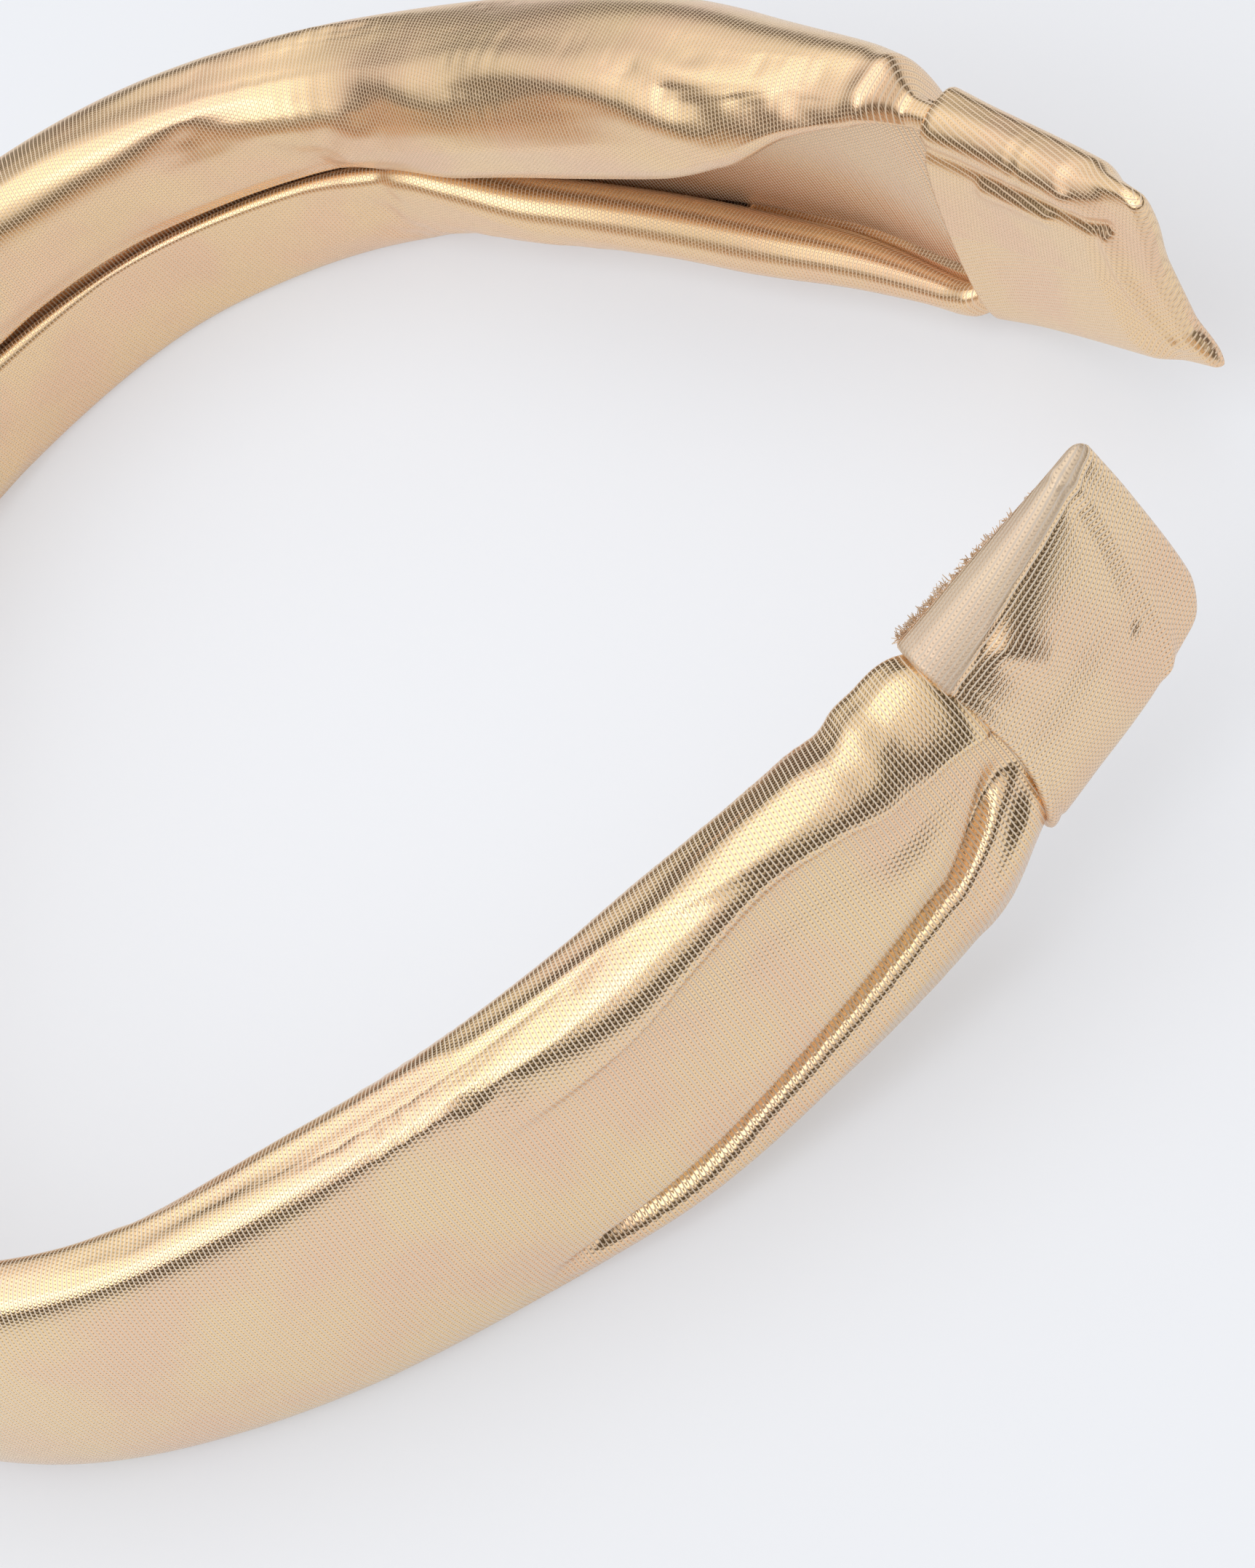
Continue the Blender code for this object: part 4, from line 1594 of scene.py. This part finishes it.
# share of the arm's length; height and thickness as shares of the sleeve's; sideways move and
# place of the band as shares of its thickness
RIGHT_ROWS = (
    (0.18, 1.00, 0.97, 0.00, -0.24),
    (0.40, 0.94, 0.79, 0.00, -0.16),
    (0.50, 0.90, 0.71, -0.05, -0.115),
    (0.60, 0.935, 0.82, -0.10, -0.14),
    (0.75, 0.955, 0.84, -0.01, -0.13),
    (0.84, 0.90, 0.74, 0.03, -0.09),
    (0.865, 0.83, 0.69, 0.03, -0.075),
    (0.882, 0.70, 0.61, 0.03, -0.06),
)
LEFT_ROWS = (
    (0.18, 1.00, 1.05, 0.03, -0.27),
    (0.30, 0.88, 1.00, 0.12, -0.25),
    (0.40, 0.84, 1.00, 0.20, -0.25),
    (0.50, 0.83, 0.92, 0.17, -0.19),
    (0.60, 0.885, 1.17, 0.06, -0.10),
    (0.72, 0.965, 1.25, 0.06, -0.075),
    (0.80, 0.93, 1.00, 0.10, -0.06),
    (0.84, 0.90, 0.80, 0.09, -0.03),
)
RIGHT_WRAP = WrapForm(
    length=0.019,
    mouth_thickness=0.0082,
    fold_thickness=0.0036,
    mouth_height=0.0188,
    end_height=0.0176,
    shift=0.03,
    mouth_rise=0.0052,
    tip_rise=0.0051,
    rise_run=0.010,
    lean=0.25,
    lean_run=0.011,
    mouth_shift=(-0.0010, 0.0010, 0.0000),
    end_shift=(-0.0022, -0.0010, 0.0003, 0.0008, 0.0010, 0.0010, 0.0004),
)
LEFT_WRAP = WrapForm(
    length=0.029,
    mouth_thickness=0.0066,
    fold_thickness=0.0030,
    mouth_height=0.0262,
    end_height=0.0196,
    shift=0.07,
    mouth_rise=0.0009,
    tip_rise=0.0050,
    rise_run=0.005,
    lean=-0.14,
    lean_run=0.020,
    mouth_shift=(-0.0010, 0.0010, 0.0042),
    end_shift=(-0.0008, -0.0012, -0.0028, -0.0026, -0.0010, -0.0006, -0.0020),
)
# share of the arm's length, upper lip and lower lip as shares of the sleeve's height
RIGHT_LIPS = (
    (0.10, 0.46, 0.43),
    (0.40, 0.48, 0.42),
    (0.60, 0.45, 0.36),
    (0.75, 0.34, 0.27),
    (0.90, 0.25, 0.22),
)
LEFT_LIPS = (
    (0.10, 0.45, 0.44),
    (0.30, 0.44, 0.47),
    (0.38, 0.45, 0.475),
    (0.47, 0.44, 0.48),
    (0.53, 0.41, 0.45),
    (0.56, 0.40, 0.375),
    (0.60, 0.37, 0.28),
    (0.65, 0.36, 0.22),
    (0.70, 0.33, 0.185),
    (0.76, 0.23, 0.155),
    (0.80, 0.12, 0.13),
    (0.86, 0.05, 0.09),
)
RIGHT_FOLDS = (
    Fold(
        (
            (0.655, 0.32), (0.732, 0.38), (0.773, 0.47), (0.810, 0.53),
            (0.839, 0.46), (0.872, 0.33), (0.913, 0.17),
        ),
        0.0019, 0.0044, 0.0008, 0.10, 0.012,
    ),
    Fold(
        ((0.700, 0.22), (0.773, 0.28), (0.810, 0.31), (0.839, 0.25), (0.872, 0.12), (0.913, 0.00)),
        -0.0007, 0.0016, 0.0032, 0.08, 0.020,
    ),
    Fold(
        (
            (0.630, -0.49), (0.654, -0.445), (0.716, -0.35), (0.761, -0.25),
            (0.815, -0.17), (0.864, -0.11), (0.912, -0.05),
        ),
        -0.0020, 0.0011, 0.0008, 0.07, 0.040,
    ),
    Fold(
        ((0.630, -0.34), (0.716, -0.20), (0.782, -0.09), (0.831, -0.02), (0.876, 0.04), (0.912, 0.07)),
        0.0006, 0.0030, 0.0014, 0.08, 0.020,
    ),
    Fold(
        ((0.620, -0.61), (0.720, -0.49), (0.782, -0.39), (0.831, -0.33), (0.876, -0.34), (0.912, -0.36)),
        0.0009, 0.0014, 0.0020, 0.10, 0.020,
    ),
    Fold(
        ((0.50, 1.05), (0.637, 1.02), (0.728, 0.95), (0.80, 0.70), (0.85, 0.60)),
        0.00025, 0.0009, 0.0006, 0.05, 0.05,
    ),
)
LEFT_FOLDS = (
    Fold(
        ((0.30, 1.55), (0.45, 1.50), (0.56, 1.50), (0.66, 1.55), (0.76, 1.45)),
        0.0012, 0.0045, 0.0045, 0.12, 0.12,
    ),
    Fold(((0.25, 1.96), (0.40, 1.97), (0.50, 1.97), (0.58, 1.90)), -0.0006, 0.0014, 0.0012, 0.08, 0.06),
    Fold(((0.40, 1.55), (0.46, 1.40), (0.52, 1.30), (0.58, 1.45)), -0.0007, 0.0022, 0.0026, 0.06, 0.05),
    Fold(((0.58, 1.00), (0.66, 1.20), (0.74, 1.50), (0.79, 1.75)), 0.0005, 0.0022, 0.0022, 0.05, 0.05),
    Fold(((0.70, 1.00), (0.77, 1.12), (0.82, 1.10)), 0.0004, 0.0016, 0.0016, 0.05, 0.03),
)
RIGHT_WRAP_FOLDS = (
    WrapFold(((0.86, 0.96), (0.84, 0.5), (0.80, 0.0), (0.77, -0.5), (0.76, -0.9)), 0.00038, 0.0007),
    WrapFold(((0.80, 0.72), (0.74, 0.35), (0.68, 0.0), (0.66, -0.25)), -0.00024, 0.0008),
    WrapFold(((0.10, 0.05), (0.40, 0.10)), -0.00030, 0.0028),
    WrapFold(((0.24, 0.62), (0.30, 0.30)), 0.00050, 0.0012),
    WrapFold(((0.04, 0.98), (0.045, -0.98)), -0.00012, 0.0003),
    WrapFold(((0.00, 0.72), (0.45, 0.84), (0.90, 0.90)), 0.00022, 0.0005, step=True),
)
RAW_EDGE = ((0.0, 0.72), (0.45, 0.84), (0.90, 0.90), (1.0, 0.92))
LEFT_WRAP_FOLDS = (
    WrapFold(((0.04, 0.90), (0.40, 0.89)), 0.0006, 0.0018, inner=True),
    WrapFold(((0.50, 0.89), (0.66, 0.87)), 0.0006, 0.0016, inner=True),
    WrapFold(
        ((0.00, 0.79), (0.24, 0.73), (0.45, 0.70), (0.70, 0.68), (0.82, 0.62)),
        -0.0006, 0.0010, inner=True,
    ),
    WrapFold(((0.26, 0.60), (0.55, 0.58)), 0.0004, 0.0012, inner=True),
    WrapFold(((0.83, 0.55), (0.85, 0.1), (0.88, -0.35), (0.92, -0.7)), 0.0007, 0.0010, inner=True),
)


def main() -> None:
    logging.basicConfig(level=logging.INFO)
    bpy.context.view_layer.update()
    knot_low, knot_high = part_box("knot_wrap")
    crown = (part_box("inner_band")[0][0] - PLAN_PAST_BAND, (knot_low[1] + knot_high[1]) / 2)
    plan = PlanCurve(crown)
    right = ArmShape(Side.RIGHT, RIGHT_WRAP, RIGHT_TIP_LIFT, RIGHT_ROWS, plan)
    left = ArmShape(Side.LEFT, LEFT_WRAP, LEFT_TIP_LIFT, LEFT_ROWS, plan)
    Studio(crown).build()
    knit = foil_knit_group()
    sleeve_finish = CHAMPAGNE.material(knit, Courses.ACROSS, 4.0)
    smooth_finish = SMOOTH_CHAMPAGNE.material(knit, Courses.ACROSS, 4.0)
    wrap_finish = PALE.material(knit, Courses.ALONG, 0.0)
    band_finish = BAND_GOLD.material(knit, Courses.ACROSS, 0.0)
    InnerBand((right, left)).build(band_finish)
    PaddedSleeve("right_cover_cloth", right, RIGHT_FOLDS, RIGHT_LIPS).build(sleeve_finish, "right_cover")
    left_sleeve = PaddedSleeve("left_cover_cloth", left, LEFT_FOLDS, LEFT_LIPS, in_wrap=0.010)
    left_sleeve.build(smooth_finish, "left_cover")
    right_wrap = TipWrap(
        "right_tip_wrap_cloth",
        right,
        RIGHT_WRAP_FOLDS,
        (0.042, 0.020),
        0.00080,
        raw_edge=RAW_EDGE,
        front=0.95,
    )
    fray = Fray("right_tip_fray", right_wrap).build(wrap_finish)
    right_wrap.build(wrap_finish, "right_tip_wrap", "right_cover_cloth", (fray,))
    left_wrap = TipWrap("left_tip_wrap_cloth", left, LEFT_WRAP_FOLDS, (0.050, 0.028), 0.00134)
    left_finish = SMOOTH_CHAMPAGNE.material(knit, Courses.ALONG, 0.0)
    left_wrap.build(left_finish, "left_tip_wrap", "left_cover_cloth")
    Knot(plan, right.middle_height(0.0)).build(sleeve_finish)


if __name__ == "__main__":
    main()
